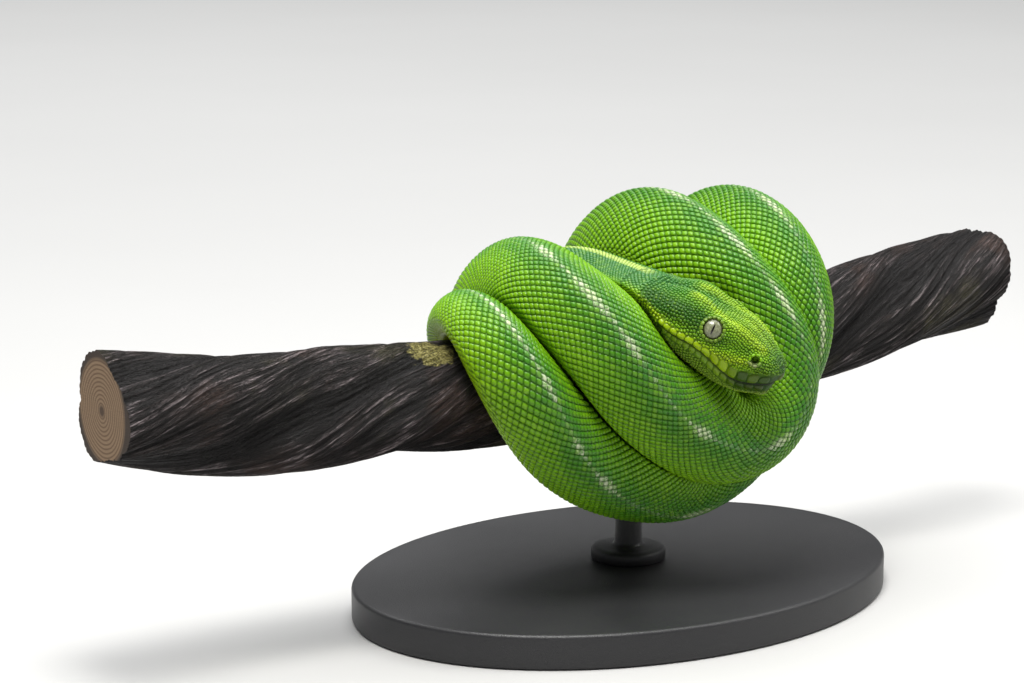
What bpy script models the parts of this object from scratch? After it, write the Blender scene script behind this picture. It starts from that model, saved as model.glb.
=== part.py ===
"""A green tree python coiled over a cut length of branch, on a plain display stand.

All sizes are in millimetres, from the branch's axis under the coil, until
make_object. +X runs along the branch, the front of the coil faces -Y, and
make_object puts the floor at z = 0 and the branch's middle at x = 0.
"""
import math

import bmesh
import bpy
import numpy as np

# the branch
AXIS_HEIGHT = 68.0          # the branch's axis above the floor, under the coil
BRANCH_RADIUS = 16.0
BRANCH_FROM, BRANCH_TO = -165.0, 135.0
BRANCH_SLOPE = 0.035
BRANCH_SAG = 0.00055        # how much it curves up towards both ends
BRANCH_TWIST = -0.030       # how far its strands turn, in radians for each millimetre
BRANCH_FURROWS = 1.5        # depth of the grooves between them, clear of the snake
COIL_MIDDLE, COIL_HALF = -4.0, 62.0     # the stretch of branch under the snake

# the stand
BASE_LENGTH, BASE_WIDTH, BASE_THICK = 170.0, 124.0, 10.0
BASE_ROUND = 1.2
ROD_RADIUS = 4.0
ROD_X, ROD_Y = 4.0, 3.2
ROD_FOOT = 11.0             # radius of the collar on the base
COLLAR_THICK, COLLAR_EDGE = 3.0, 1.0
ROD_TRIM = 6.0              # the rod's last level ring is this far under the branch

# gaps
GAP = 0.3
LOOP_GAP = 1.0              # between loops that press on each other

# the head: from the snout back, each row gives the distance, the half width
# and the height above and below the head's axis
HEAD_LENGTH = 43.4
HEAD_START = (-11.2, -26.8, 28.2)       # the nape, from the branch's axis
HEAD_FORWARD = (0.52, -0.72, -0.44)
HEAD_UP = (0.14, -0.48, 0.865)
HEAD_ROWS = (
    (0.0, 2.8, 0.8, 3.3),
    (0.7, 4.3, 1.8, 6.9),
    (2.0, 5.5, 2.6, 8.8),
    (4.0, 6.5, 3.9, 9.5),
    (8.5, 7.8, 6.5, 11.3),
    (13.5, 8.9, 8.4, 11.9),
    (18.5, 10.2, 8.5, 11.2),
    (23.5, 11.8, 8.5, 9.8),
    (28.5, 13.0, 9.3, 8.3),
    (32.5, 13.0, 8.8, 6.9),
    (37.5, 11.4, 7.3, 6.1),
    (43.4, 10.4, 5.5, 7.6),
)
CROWN_BOX, JAW_BOX = 0.4, 0.7       # how much squarer than an oval it is, above and below
FIRM_FROM, FIRM_TO = 29.0, 39.0     # from the snout: firm up to one, soft beyond the other
EYE_RADIUS = 3.3
EYE_BACK = 21.4             # from the snout
EYE_SIDE, EYE_UP = 7.4, 4.3
SOCKET_RADIUS = 3.65

# the body: where the ridge of the back passes, from the neck to the tail's tip.
# Each row gives the place along the branch, the way over it from the top
# (front is +), the distance out from the branch's axis, the body's half height
# and half width, and the lean of the ridge in degrees.
RIDGE = (
    ("neck", -11.2, 10, 37.9, 8.4, 10.8, 0),
    ("neck over the top", -15, -8, 38.8, 8.8, 10.6, 0),
    ("neck at the back", -18.5, -27, 40, 9.6, 10, 0),
    ("inner back turn", -18.5, -44, 42.5, 10.5, 9.5, 0),
    ("inner back turn", -14, -55, 44, 11.5, 10, 0),
    ("inner back turn", -4.5, -60, 46, 12.5, 10.5, 0),
    ("inner back turn", 5, -56, 48, 13.5, 11, 0),
    ("inner back turn", 9.3, -44, 49.5, 15, 12.5, 0),
    ("inner loop, back", 9.7, -25, 51, 16, 14, 0),
    ("inner loop, top", 11, -4, 52.5, 17, 14.5, 0),
    ("inner loop, front", 15, 21, 52, 17, 14.5, 0),
    ("inner loop, front", 24, 37, 51, 17, 14.5, -5),
    ("turn under the head", 30, 52, 50, 17, 15, -12),
    ("turn under the head", 26.5, 63, 50, 16.5, 16, -10),
    ("turn under the head", 13, 69, 50, 16, 15.5, -8),
    ("turn under the head", -4, 62, 49, 15.5, 15.5, -8),
    ("left loop, front", -31, 35, 48, 15, 16, -13),
    ("left loop, front", -38, 16, 45, 14, 15, -15),
    ("left loop, top", -34.5, -6, 43, 13.5, 14.5, -10),
    ("left loop, back", -32.5, -30, 43, 13.5, 14, -5),
    ("outer back turn", -29, -54, 41, 13.5, 13.5, -15),
    ("outer back turn", -14, -75, 34, 13.5, 13.5, -35),
    ("outer back turn", 5, -83, 31, 13.5, 13.5, -45),
    ("outer back turn", 23, -75, 34, 13.5, 13.5, -35),
    ("outer back turn", 35, -54, 42, 14, 13.5, -15),
    ("right loop, back", 38.5, -30, 47.5, 15.5, 14, -5),
    ("right loop, top", 40, -4, 49, 16, 14.5, 0),
    ("right loop, front", 38.5, 24, 49, 16, 14.5, 0),
    ("right loop, front", 38, 46, 45, 14.5, 13.5, -8),
    ("lowest turn", 33.5, 67, 37, 13.5, 12.5, -24),
    ("lowest turn", 22, 85, 31, 14, 14, -40),
    ("lowest turn", 4, 91, 27, 15, 16, -48),
    ("lowest turn", -16, 84, 31, 14.5, 16.5, -38),
    ("vent", -38, 66, 36, 14, 14, -15),
    ("tail, front", -49.5, 46, 37, 12.5, 12.5, 0),
    ("tail, front", -55.5, 25, 34.5, 10.5, 11, 0),
    ("tail, top", -55, 4, 31.5, 8, 9.5, 0),
    ("tail, back", -53, -16, 29, 6.5, 7.5, 0),
    ("tail, back", -48, -38, 27, 5.5, 6, 0),
    ("tail's grip", -38, -58, 25, 4.2, 4.2, 0),
    ("tail's grip", -26, -70, 21, 2.8, 2.8, -30),
    ("tip", -12, -76, 17, 1.0, 1.0, -40),
)
DRAPE_RADIUS = 33.0         # a loop lies round the branch, then hangs
EASY_BEND, FULL_BEND = 0.55, 0.85   # shares of a bend's radius the body may fill
NECK_LENGTHS, TRUNK_LENGTHS, TAIL_LENGTHS = 2, 12, 4

# how finely the solids are cut
LINE_STEP = 1.5
RING_STEP = 6.0
BODY_SIDES = 22
HEAD_RINGS, HEAD_SIDES = 20, 28
BRANCH_CUTS, BRANCH_SIDES = 25, 18
BASE_SIDES, ROD_SIDES = 40, 18
EYE_RINGS, EYE_SIDES = 8, 14
SOCKET_RINGS, SOCKET_SIDES = 9, 18
SMOOTHING = 3

MATERIALS = {
    "skin_green": ((0.13, 0.42, 0.03), 0.0, 0.38),
    "eye_silver": ((0.52, 0.53, 0.44), 0.0, 0.08),
    "bark": ((0.055, 0.038, 0.03), 0.0, 0.85),
    "stand_black": ((0.02, 0.02, 0.022), 0.0, 0.5),
}


def unit(vectors):
    return vectors / np.linalg.norm(vectors, axis=-1, keepdims=True)


def branch_rise(x):
    return BRANCH_SAG * x * x + BRANCH_SLOPE * x


def over_branch(x, over, out):
    """A place given along, over and out from the branch, and the way outward."""
    turn = np.clip(over / DRAPE_RADIUS, -math.pi / 2, math.pi / 2)
    hang = np.maximum(np.abs(over) - DRAPE_RADIUS * math.pi / 2, 0.0)
    place = np.stack([x, -out * np.sin(turn), out * np.cos(turn) - hang + branch_rise(x)], -1)
    outward = np.stack([0 * x, -np.sin(turn), np.cos(turn)], -1)
    return place, outward


def curve_through(rows, knots, places):
    """A smooth curve through rows set at knots, read at places."""
    gap = np.diff(knots)[:, None]
    slope = np.diff(rows, axis=0) / gap
    lean = np.empty_like(rows)
    lean[1:-1] = (slope[:-1] * gap[1:] + slope[1:] * gap[:-1]) / (gap[1:] + gap[:-1])
    lean[0], lean[-1] = slope[0], slope[-1]
    i = np.clip(np.searchsorted(knots, places, side="right") - 1, 0, len(knots) - 2)
    t = ((places - knots[i]) / gap[i, 0])[:, None]
    a = (2 * t ** 3 - 3 * t ** 2 + 1) * rows[i] + (t ** 3 - 2 * t ** 2 + t) * gap[i] * lean[i]
    b = (3 * t ** 2 - 2 * t ** 3) * rows[i + 1] + (t ** 3 - t ** 2) * gap[i] * lean[i + 1]
    return a + b


def smoothed(values):
    k = SMOOTHING
    wide = np.pad(values, ((k, k), (0, 0)), mode="reflect", reflect_type="odd")
    return sum(wide[j:j + len(values)] for j in range(2 * k + 1)) / (2 * k + 1)


def along(points):
    steps = np.linalg.norm(np.diff(points, axis=0), axis=1)
    return np.concatenate([[0.0], np.cumsum(steps)])


def body_line():
    """Centres, ridge directions and half sizes of the body from neck to tail tip."""
    rows = np.array([row[1:] for row in RIDGE], float)
    knots = along(over_branch(rows[:, 0], rows[:, 1], rows[:, 2])[0])
    places = np.linspace(0, knots[-1], int(knots[-1] / LINE_STEP) + 1)
    rows = curve_through(rows, knots, places)
    ridge, outward = over_branch(rows[:, 0], rows[:, 1], rows[:, 2])
    ridge, outward = smoothed(smoothed(ridge)), smoothed(outward)
    heading = unit(np.gradient(ridge, axis=0))
    up = unit(outward - (outward * heading).sum(1)[:, None] * heading)
    lean = np.radians(rows[:, 5:6])
    up = np.cos(lean) * up + np.sin(lean) * np.cross(heading, up)
    return smoothed(ridge - up * rows[:, 3:4]), up, rows[:, 3:5]


def head_axes():
    forward = unit(np.array(HEAD_FORWARD))
    up = np.array(HEAD_UP)
    up = unit(up - (up @ forward) * forward)
    return forward, up, np.cross(up, forward)


def head_point(back, side, up):
    forward, top, left = head_axes()
    start = np.array(HEAD_START) + (HEAD_LENGTH - back) * forward
    return start + side * left + up * top


def head_line():
    """Centres, ridge directions and half sizes of the head from snout to nape."""
    forward, up, _ = head_axes()
    back = np.arange(0.0, HEAD_LENGTH - 3.0, LINE_STEP)
    centres = np.array(HEAD_START) + (HEAD_LENGTH - back)[:, None] * forward
    return centres, np.tile(up, (len(back), 1)), back


def whole_line():
    """The one line from snout to tail tip that head, neck, trunk and tail share.

    Each ring has its centre, heading, up and side, then its half width and
    its heights above and below the centre.
    """
    head, head_up, back = head_line()
    body, body_up, sizes = body_line()
    rows = np.array(HEAD_ROWS)
    head_sizes = curve_through(rows[:, 1:], rows[:, 0], back)
    gap = np.linalg.norm(body[0] - head[-1])
    fill = np.linspace(0, 1, max(int(gap / LINE_STEP), 2) + 1)[1:-1]
    knots = np.array([-8.0, 0.0, gap, gap + 8.0])
    ends = np.stack([head[-1] - 8 * unit(head[-1] - head[-2]), head[-1], body[0], body[5]])
    bridge = curve_through(ends, knots, fill * gap)
    bridge_up = (1 - fill)[:, None] * head_up[-1] + fill[:, None] * body_up[0]
    width = np.stack([sizes[:, 1], sizes[:, 0], 0.9 * sizes[:, 0]], -1)
    mix = fill[:, None] * width[0] + (1 - fill)[:, None] * head_sizes[-1]
    centre = np.concatenate([head, bridge, body])
    up = np.concatenate([head_up, bridge_up, body_up])
    size = np.concatenate([head_sizes, mix, width])
    headness = np.concatenate([np.ones(len(head)), 1 - fill, np.zeros(len(body))])
    inner = smoothed(smoothed(np.concatenate([centre, up], 1)))
    keep = len(head) - 8
    centre[keep:], up[keep:] = inner[keep:, :3], inner[keep:, 3:]
    heading = unit(np.gradient(centre, axis=0))
    up = unit(up - (up * heading).sum(1)[:, None] * heading)
    at = along(centre)
    bend = smoothed(np.gradient(heading, axis=0) / np.gradient(at)[:, None])
    firm = np.clip((FIRM_TO - at) / (FIRM_TO - FIRM_FROM), 0, 1)
    return dict(bend=bend, centre=centre, heading=heading, up=up, side=np.cross(heading, up),
                size=size, head=headness, firm=firm, at=at)


def at_places(line, places):
    """The line's rings read at other distances from the snout."""
    out = {}
    for key, values in line.items():
        flat = values.reshape(len(values), -1)
        read = np.stack([np.interp(places, line["at"], column) for column in flat.T], -1)
        out[key] = read.reshape((len(places),) + values.shape[1:])
    for key in ("heading", "up", "side"):
        out[key] = unit(out[key])
    return out


def rings(line, angles):
    """The skin's outline round each ring; angle 0 is the ridge of the back."""
    up, side = np.cos(angles)[None, :], np.sin(angles)[None, :]
    head = line["head"][:, None]
    box = 2 / (2 + np.where(up > 0, CROWN_BOX, JAW_BOX) * head)
    up, side = np.sign(up) * np.abs(up) ** box, np.sign(side) * np.abs(side) ** box
    width, above, below = (line["size"][:, k, None] for k in range(3))
    ridge = 0.05 * (np.exp(-(angles / 0.38) ** 2)[None, :] - 1) * (1 - head)
    height = np.where(up > 0, above * (up + ridge), below * up)
    reach = width * side * (1 - 0.10 * np.clip(up, 0, 1) * (1 - head))
    offset = line["up"][:, None] * height[..., None] + line["side"][:, None] * reach[..., None]
    return line["centre"][:, None] + squeezed(offset, line["bend"][:, None])


def squeezed(offset, bend):
    """The inside of a tight bend stays short of the bend's own centre."""
    share = (offset * bend).sum(-1, keepdims=True)
    room = FULL_BEND - EASY_BEND
    limited = EASY_BEND + room * (1 - np.exp(-(share - EASY_BEND) / room))
    cut = np.where(share > EASY_BEND, share - limited, 0)
    return offset - bend * cut / np.maximum((bend ** 2).sum(-1, keepdims=True), 1e-9)


def reach_towards(line, rings_at, way):
    """How far rings reach from their centres along a way."""
    width, above, below = np.moveaxis(line["size"][rings_at], -1, 0)
    up = (way * line["up"][rings_at]).sum(-1)
    side = (way * line["side"][rings_at]).sum(-1)
    box = 2 + np.where(up > 0, CROWN_BOX, JAW_BOX) * line["head"][rings_at]
    power = box / (box - 1)
    high = np.abs(np.where(up > 0, above, below) * up)
    return (np.abs(width * side) ** power + high ** power) ** (1 / power)


def pressed(points, line, whole):
    """Each loop keeps to its own side of the plane between it and a loop beside it.

    The face keeps its shape, and the loops give way to it.
    """
    out = points.copy()
    girth, others = line["size"].mean(1), whole["size"].mean(1)
    for i, centre in enumerate(line["centre"]):
        away = whole["centre"] - centre
        far = np.linalg.norm(away, axis=1)
        reach = girth[i] + others
        near = (np.abs(whole["at"] - line["at"][i]) > 1.7 * reach) & (far < 1.25 * reach + 6)
        firm = line["firm"][i]
        if firm == 1 or not near.any():
            continue
        normal = away[near] / far[near, None]
        limit = (1 - firm) * (far[near] * girth[i] / reach[near] - LOOP_GAP / 2)
        limit += firm * reach_towards(line, i, normal)
        beside_firm = far[near] - reach_towards(whole, near, -normal) - LOOP_GAP
        limit += whole["firm"][near] * (beside_firm - limit)
        for _ in range(3):
            over = np.maximum((out[i] - centre) @ normal.T - limit, 0)
            worst = over.argmax(1)
            out[i] -= normal[worst] * over[np.arange(len(worst)), worst][:, None]
    return out


def clear_of_branch(points):
    """Push points out of the branch."""
    rise = branch_rise(points[..., 0])
    y, z = points[..., 1], points[..., 2] - rise
    grow = np.maximum((BRANCH_RADIUS + GAP) / np.maximum(np.hypot(y, z), 1e-6), 1)
    return np.stack([points[..., 0], y * grow, z * grow + rise], -1)


def flesh(line, whole, sides):
    angles = np.linspace(-math.pi, math.pi, sides, endpoint=False)
    return clear_of_branch(pressed(rings(line, angles), line, whole))


def make_material(name):
    colour, metallic, roughness = MATERIALS[name]
    material = bpy.data.materials.new(name)
    material.use_nodes = True
    shader = material.node_tree.nodes["Principled BSDF"]
    shader.inputs["Base Color"].default_value = (*colour, 1.0)
    shader.inputs["Metallic"].default_value = metallic
    shader.inputs["Roughness"].default_value = roughness
    return material


def make_object(name, points, faces, material, smooth=True):
    """points are in millimetres, from the branch's axis under the coil."""
    lift = np.array([-(BRANCH_FROM + BRANCH_TO) / 2, 0.0, AXIS_HEIGHT])
    mesh = bpy.data.meshes.new(name)
    mesh.from_pydata(((np.asarray(points) + lift) * 0.001).tolist(), [], faces)
    mesh.materials.append(make_material(material))
    mesh.update()
    shape = bmesh.new()
    shape.from_mesh(mesh)
    bmesh.ops.recalc_face_normals(shape, faces=shape.faces)
    for face in shape.faces:
        face.smooth = smooth and len(face.verts) < 5
    shape.to_mesh(mesh)
    shape.free()
    thing = bpy.data.objects.new(name, mesh)
    bpy.context.scene.collection.objects.link(thing)
    return thing


def loft_faces(ring_count, sides):
    """Side faces of a stack of rings, and a fan to a middle point at both ends."""
    faces = []
    for i in range(ring_count - 1):
        for j in range(sides):
            k = (j + 1) % sides
            a, b = i * sides, (i + 1) * sides
            faces.append((a + j, b + j, b + k))
            faces.append((a + j, b + k, a + k))
    first, last = ring_count * sides, ring_count * sides + 1
    for j in range(sides):
        k = (j + 1) % sides
        faces.append((first, j, k))
        faces.append((last, (ring_count - 1) * sides + k, (ring_count - 1) * sides + j))
    return faces


def loft(name, grid, material):
    ends = np.stack([grid[0].mean(0), grid[-1].mean(0)])
    points = np.concatenate([grid.reshape(-1, 3), ends])
    return make_object(name, points, loft_faces(len(grid), grid.shape[1]), material)


def length_names():
    names = ["neck_%d" % (i + 1) for i in range(NECK_LENGTHS)]
    names += ["trunk_%02d" % (i + 1) for i in range(TRUNK_LENGTHS)]
    return names + ["tail_%d" % (i + 1) for i in range(TAIL_LENGTHS)]


def build_body(whole):
    """One grid from nape to tail tip, parted by thin cuts into its lengths."""
    names = length_names()
    end = whole["at"][-1]
    per_length = round((end - HEAD_LENGTH) / len(names) / RING_STEP)
    line = at_places(whole, np.linspace(HEAD_LENGTH, end, per_length * len(names) + 1))
    grid = flesh(line, whole, BODY_SIDES)
    for i, name in enumerate(names):
        first, last = i * per_length, (i + 1) * per_length
        piece = grid[first:last + 1].copy()
        piece[0] += line["heading"][first] * GAP / 2
        if last + 1 < len(grid):
            piece[-1] -= line["heading"][last] * GAP / 2
        loft(name, piece, "skin_green")


def ball(name, centre, radius, rings_count, sides, material):
    """A closed ball of rings, with a point at each pole."""
    tilt = np.linspace(0, math.pi, rings_count + 2)[1:-1]
    turn = np.linspace(0, 2 * math.pi, sides, endpoint=False)
    grid = np.stack([np.sin(tilt)[:, None] * np.cos(turn), np.sin(tilt)[:, None] * np.sin(turn),
                     np.cos(tilt)[:, None] + 0 * turn], -1)
    poles = np.array([[0, 0, 1.0], [0, 0, -1.0]])
    points = np.concatenate([grid.reshape(-1, 3), poles]) * radius + centre
    return make_object(name, points, loft_faces(rings_count, sides), material)


def build_head(whole):
    share = np.linspace(0, 1, HEAD_RINGS)
    places = share ** 1.25 * (HEAD_LENGTH - GAP / 2)
    grid = flesh(at_places(whole, places), whole, HEAD_SIDES)
    forward = head_axes()[0]
    tip = grid[0].mean(0) + 0.7 * forward
    points = np.concatenate([grid.reshape(-1, 3), [tip, grid[-1].mean(0)]])
    head = make_object("head", points, loft_faces(HEAD_RINGS, HEAD_SIDES), "skin_green")
    for name, side in (("eye_left", EYE_SIDE), ("eye_right", -EYE_SIDE)):
        centre = head_point(EYE_BACK, side, EYE_UP)
        cut_socket(head, centre)
        ball(name, centre, EYE_RADIUS, EYE_RINGS, EYE_SIDES, "eye_silver")
    return head


def cut_socket(head, centre):
    """Cut the round hollow that an eye sits in."""
    cutter = ball("socket_cutter", centre, SOCKET_RADIUS, SOCKET_RINGS, SOCKET_SIDES, "skin_green")
    cut = head.modifiers.new("socket", "BOOLEAN")
    cut.operation = "DIFFERENCE"
    cut.solver = "EXACT"
    cut.object = cutter
    graph = bpy.context.evaluated_depsgraph_get()
    mesh = bpy.data.meshes.new_from_object(head.evaluated_get(graph))
    head.modifiers.clear()
    head.data = mesh
    bpy.data.objects.remove(cutter)


def branch_radius(x, turn):
    """Strands that twist round the branch like a rope's, and fade out under the snake."""
    bare = np.clip((np.abs(x - COIL_MIDDLE) - COIL_HALF) / 14, 0, 1)
    twist = turn + BRANCH_TWIST * x
    strands = 0.75 * np.cos(3 * twist + 0.02 * x) + 0.3 * np.cos(2 * twist - 0.03 * x + 1)
    swell = 0.35 * np.sin(0.045 * x + 0.6)
    return BRANCH_RADIUS - 0.05 + bare * BRANCH_FURROWS * (strands + swell)


def build_branch():
    x = np.linspace(BRANCH_FROM, BRANCH_TO, BRANCH_CUTS)[:, None]
    turn = np.linspace(0, 2 * math.pi, BRANCH_SIDES, endpoint=False)[None, :]
    radius = branch_radius(x, turn)
    grid = np.stack([x + 0 * turn, radius * np.sin(turn), radius * np.cos(turn) + branch_rise(x)], -1)
    loft("perch", grid, "bark")


def build_stand():
    turn = np.linspace(0, 2 * math.pi, BASE_SIDES, endpoint=False)
    oval = np.stack([np.cos(turn), np.sin(turn)], -1)
    floor, top = -AXIS_HEIGHT, BASE_THICK - AXIS_HEIGHT
    half = np.array([BASE_LENGTH / 2, BASE_WIDTH / 2])
    levels = ((floor, BASE_ROUND), (floor + BASE_ROUND, 0.0), (top - BASE_ROUND, 0.0),
              (top, BASE_ROUND))
    grid = [np.concatenate([oval * (half - inset), np.full((BASE_SIDES, 1), z)], 1) for z, inset in levels]
    loft("stand_base", np.array(grid), "stand_black")
    build_rod(top)


def build_rod(top):
    """A rod with a collar at its foot; its head is cut to the branch's underside."""
    turn = np.linspace(0, 2 * math.pi, ROD_SIDES, endpoint=False)
    circle = np.stack([np.cos(turn), np.sin(turn)], -1)
    collar = top + COLLAR_THICK
    levels = ((top + GAP, ROD_FOOT), (collar, ROD_FOOT), (collar + COLLAR_EDGE, ROD_FOOT - COLLAR_EDGE),
              (collar + COLLAR_EDGE + 0.01, ROD_RADIUS), (-BRANCH_RADIUS - ROD_TRIM, ROD_RADIUS))
    grid = [np.concatenate([circle * r + (ROD_X, ROD_Y), np.full((ROD_SIDES, 1), z)], 1)
            for z, r in levels]
    head = grid[-1].copy()
    reach = BRANCH_RADIUS + GAP
    head[:, 2] = branch_rise(head[:, 0]) - np.sqrt(reach ** 2 - head[:, 1] ** 2)
    loft("stand_rod", np.array(grid + [head]), "stand_black")


def clear_scene():
    for thing in list(bpy.data.objects):
        bpy.data.objects.remove(thing)


def main():
    clear_scene()
    whole = whole_line()
    build_head(whole)
    build_body(whole)
    build_branch()
    build_stand()


main()
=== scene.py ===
"""How the coiled green tree python, its perch and its stand look."""
import math

import bpy
import numpy as np
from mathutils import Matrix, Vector
from mathutils.bvhtree import BVHTree


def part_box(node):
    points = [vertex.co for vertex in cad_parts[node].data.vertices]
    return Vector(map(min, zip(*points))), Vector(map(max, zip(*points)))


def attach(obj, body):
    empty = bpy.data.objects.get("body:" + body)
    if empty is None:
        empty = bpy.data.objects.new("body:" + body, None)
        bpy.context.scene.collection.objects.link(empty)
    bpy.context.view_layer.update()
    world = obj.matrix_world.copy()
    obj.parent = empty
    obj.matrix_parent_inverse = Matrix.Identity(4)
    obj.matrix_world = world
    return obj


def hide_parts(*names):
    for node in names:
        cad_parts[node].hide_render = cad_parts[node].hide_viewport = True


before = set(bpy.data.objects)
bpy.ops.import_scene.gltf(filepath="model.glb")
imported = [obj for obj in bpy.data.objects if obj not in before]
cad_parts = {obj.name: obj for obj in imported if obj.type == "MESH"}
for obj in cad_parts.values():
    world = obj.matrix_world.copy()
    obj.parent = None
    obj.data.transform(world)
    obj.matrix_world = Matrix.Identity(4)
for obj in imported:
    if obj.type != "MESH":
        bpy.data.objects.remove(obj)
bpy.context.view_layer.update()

# ------------------------------------------------------------------ the perch
# A cut length of dead liana, nearly black: its bark is stringy fibres twisted
# round it like an old rope. Both ends are sawn square and show the wood. The
# snake grips its middle, and the stand's rod carries it from below.
MM = 0.001
BRANCH_RADIUS = 16.0
BRANCH_SLOPE, BRANCH_SAG = 0.035, 0.00055
BRANCH_FROM, BRANCH_TO = -165.0, 135.0
AXIS_HEIGHT = 68.0          # of the branch over the floor, under the coil
COIL_MIDDLE, COIL_HALF, COIL_EDGE = -4.0, 62.0, 14.0        # the smooth stretch under the snake
BARK_INSIDE = 0.05          # how far the bark keeps within the solid
FIBRE_TWIST = -0.030        # radians for each millimetre
STRAND_DEPTH, FIBRE_DEPTH = 1.5, 2.3
BARK_CUTS, BARK_SIDES = 440, 208
SAWN_RINGS = (0.97, 0.82, 0.60, 0.35, 0.12)         # shares of the branch's radius
LICHEN_AT, LICHEN_TURN = -68.0, 6.0
LICHEN_LONG, LICHEN_WIDE = 8.0, 0.50    # millimetres along, radians round

perch_low, perch_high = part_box("perch")
ORIGIN = np.array([(perch_low.x + perch_high.x) / 2 / MM - (BRANCH_FROM + BRANCH_TO) / 2, 0.0, AXIS_HEIGHT])


def unit(vectors):
    """The same directions, each one long."""
    return vectors / np.maximum(np.linalg.norm(vectors, axis=-1, keepdims=True), 1e-9)


def branch_rise(x):
    """How far the branch's axis stands over its height under the coil."""
    return BRANCH_SAG * x * x + BRANCH_SLOPE * x


def in_frame(points):
    """From millimetres about the branch's axis under the coil to the frame's metres."""
    return (np.asarray(points) + ORIGIN) * MM


def new_piece(name, points, faces, material):
    """A smooth-shaded mesh object from points in millimetres about the coil's axis."""
    mesh = bpy.data.meshes.new(name)
    mesh.from_pydata(in_frame(points).tolist(), [], faces)
    mesh.materials.append(material)
    mesh.shade_smooth()
    mesh.update()
    piece = bpy.data.objects.new(name, mesh)
    bpy.context.scene.collection.objects.link(piece)
    return piece


def tube_faces(ring_count, sides):
    """Quads between a stack of closed rings."""
    i, j = np.meshgrid(np.arange(ring_count - 1), np.arange(sides), indexing="ij")
    k = (j + 1) % sides
    quads = np.stack([i * sides + j, (i + 1) * sides + j, (i + 1) * sides + k, i * sides + k], -1)
    return quads.reshape(-1, 4).tolist()


def turned_over(faces):
    """The same faces, facing the other way."""
    return [face[::-1] for face in faces]


def fan_faces(ring_start, sides, middle):
    """Triangles from a closed ring to the point in its middle."""
    return [(ring_start + j, ring_start + (j + 1) % sides, middle) for j in range(sides)]


def closed_tube(ring_count, sides):
    """A tube whose ends close on two points that follow its rings."""
    count = ring_count * sides
    last_fan = fan_faces(count - sides, sides, count + 1)
    return tube_faces(ring_count, sides) + fan_faces(0, sides, count) + turned_over(last_fan)


def keep_numbers(piece, name, values, kind="FLOAT"):
    """Store one number, or one vector, for each point of a piece."""
    layer = piece.data.attributes.new(name, kind, "POINT")
    field = "value" if kind == "FLOAT" else "vector"
    layer.data.foreach_set(field, np.asarray(values, np.float32).ravel())


class Nodes:
    """A short way to write a material's nodes."""

    def __init__(self, name):
        self.material = bpy.data.materials.new(name)
        self.material.use_nodes = True
        self.tree = self.material.node_tree
        self.shader = self.tree.nodes["Principled BSDF"]

    def plug(self, value, socket):
        if isinstance(value, bpy.types.NodeSocket):
            self.tree.links.new(value, socket)
        elif isinstance(value, tuple) and len(value) == 3 and socket.type == "RGBA":
            socket.default_value = (*value, 1.0)
        else:
            socket.default_value = value

    def node(self, kind, inputs=(), **settings):
        node = self.tree.nodes.new(kind)
        for key, value in settings.items():
            setattr(node, key, value)
        for key, value in dict(inputs).items():
            self.plug(value, node.inputs[key])
        return node

    def math(self, operation, a, b=0.0, c=0.0):
        return self.node("ShaderNodeMath", {0: a, 1: b, 2: c}, operation=operation).outputs[0]

    def times(self, a, b):
        return self.math("MULTIPLY", a, b)

    def near_middle(self, value, spread, add_to):
        """A noise's way from its middle value, scaled and added to another value."""
        return self.math("MULTIPLY_ADD", self.math("SUBTRACT", value, 0.5), spread, add_to)

    def step(self, value, low, high, out_low=0.0, out_high=1.0):
        """Smoothly from out_low to out_high as the value goes from low to high."""
        node = self.node("ShaderNodeMapRange", {"Value": value, "From Min": low, "From Max": high,
                         "To Min": out_low, "To Max": out_high}, interpolation_type="SMOOTHSTEP")
        return node.outputs["Result"]

    def mix(self, share, a, b):
        return self.node("ShaderNodeMix", {0: share, 6: a, 7: b}, data_type="RGBA").outputs[2]

    def number(self, name):
        return self.node("ShaderNodeAttribute", attribute_name=name).outputs["Fac"]

    def vector(self, name):
        return self.node("ShaderNodeAttribute", attribute_name=name).outputs["Vector"]

    def place(self):
        return self.node("ShaderNodeTexCoord").outputs["Object"]

    def noise(self, vector, scale, detail=3.0, roughness=0.55, stretch=None):
        if stretch:
            vector = self.node("ShaderNodeVectorMath", {0: vector, 1: stretch},
                               operation="MULTIPLY").outputs[0]
        node = self.node("ShaderNodeTexNoise", {"Vector": vector, "Scale": scale, "Detail": detail,
                         "Roughness": roughness})
        return node.outputs["Fac"]

    def ramp(self, value, *stops):
        node = self.node("ShaderNodeValToRGB", {"Fac": value})
        elements = node.color_ramp.elements
        while len(elements) < len(stops):
            elements.new(0.5)
        for element, (position, colour) in zip(elements, stops):
            element.position = position
            element.color = (*colour, 1.0)
        return node.outputs["Color"]

    def bump(self, height, distance, strength=1.0, normal=None):
        inputs = {"Height": height, "Distance": distance, "Strength": strength}
        if normal is not None:
            inputs["Normal"] = normal
        return self.node("ShaderNodeBump", inputs).outputs["Normal"]

    def finish(self, **inputs):
        for key, value in inputs.items():
            self.plug(value, self.shader.inputs[key.replace("_", " ")])
        return self.material


def fibre_turn(x, turn):
    """The way round along a fibre, which wanders as it winds along the branch."""
    t = turn + FIBRE_TWIST * x
    return t + 0.10 * np.sin(0.05 * x + 2 * t) + 0.05 * np.sin(0.13 * x - 3 * t + 1)


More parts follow.
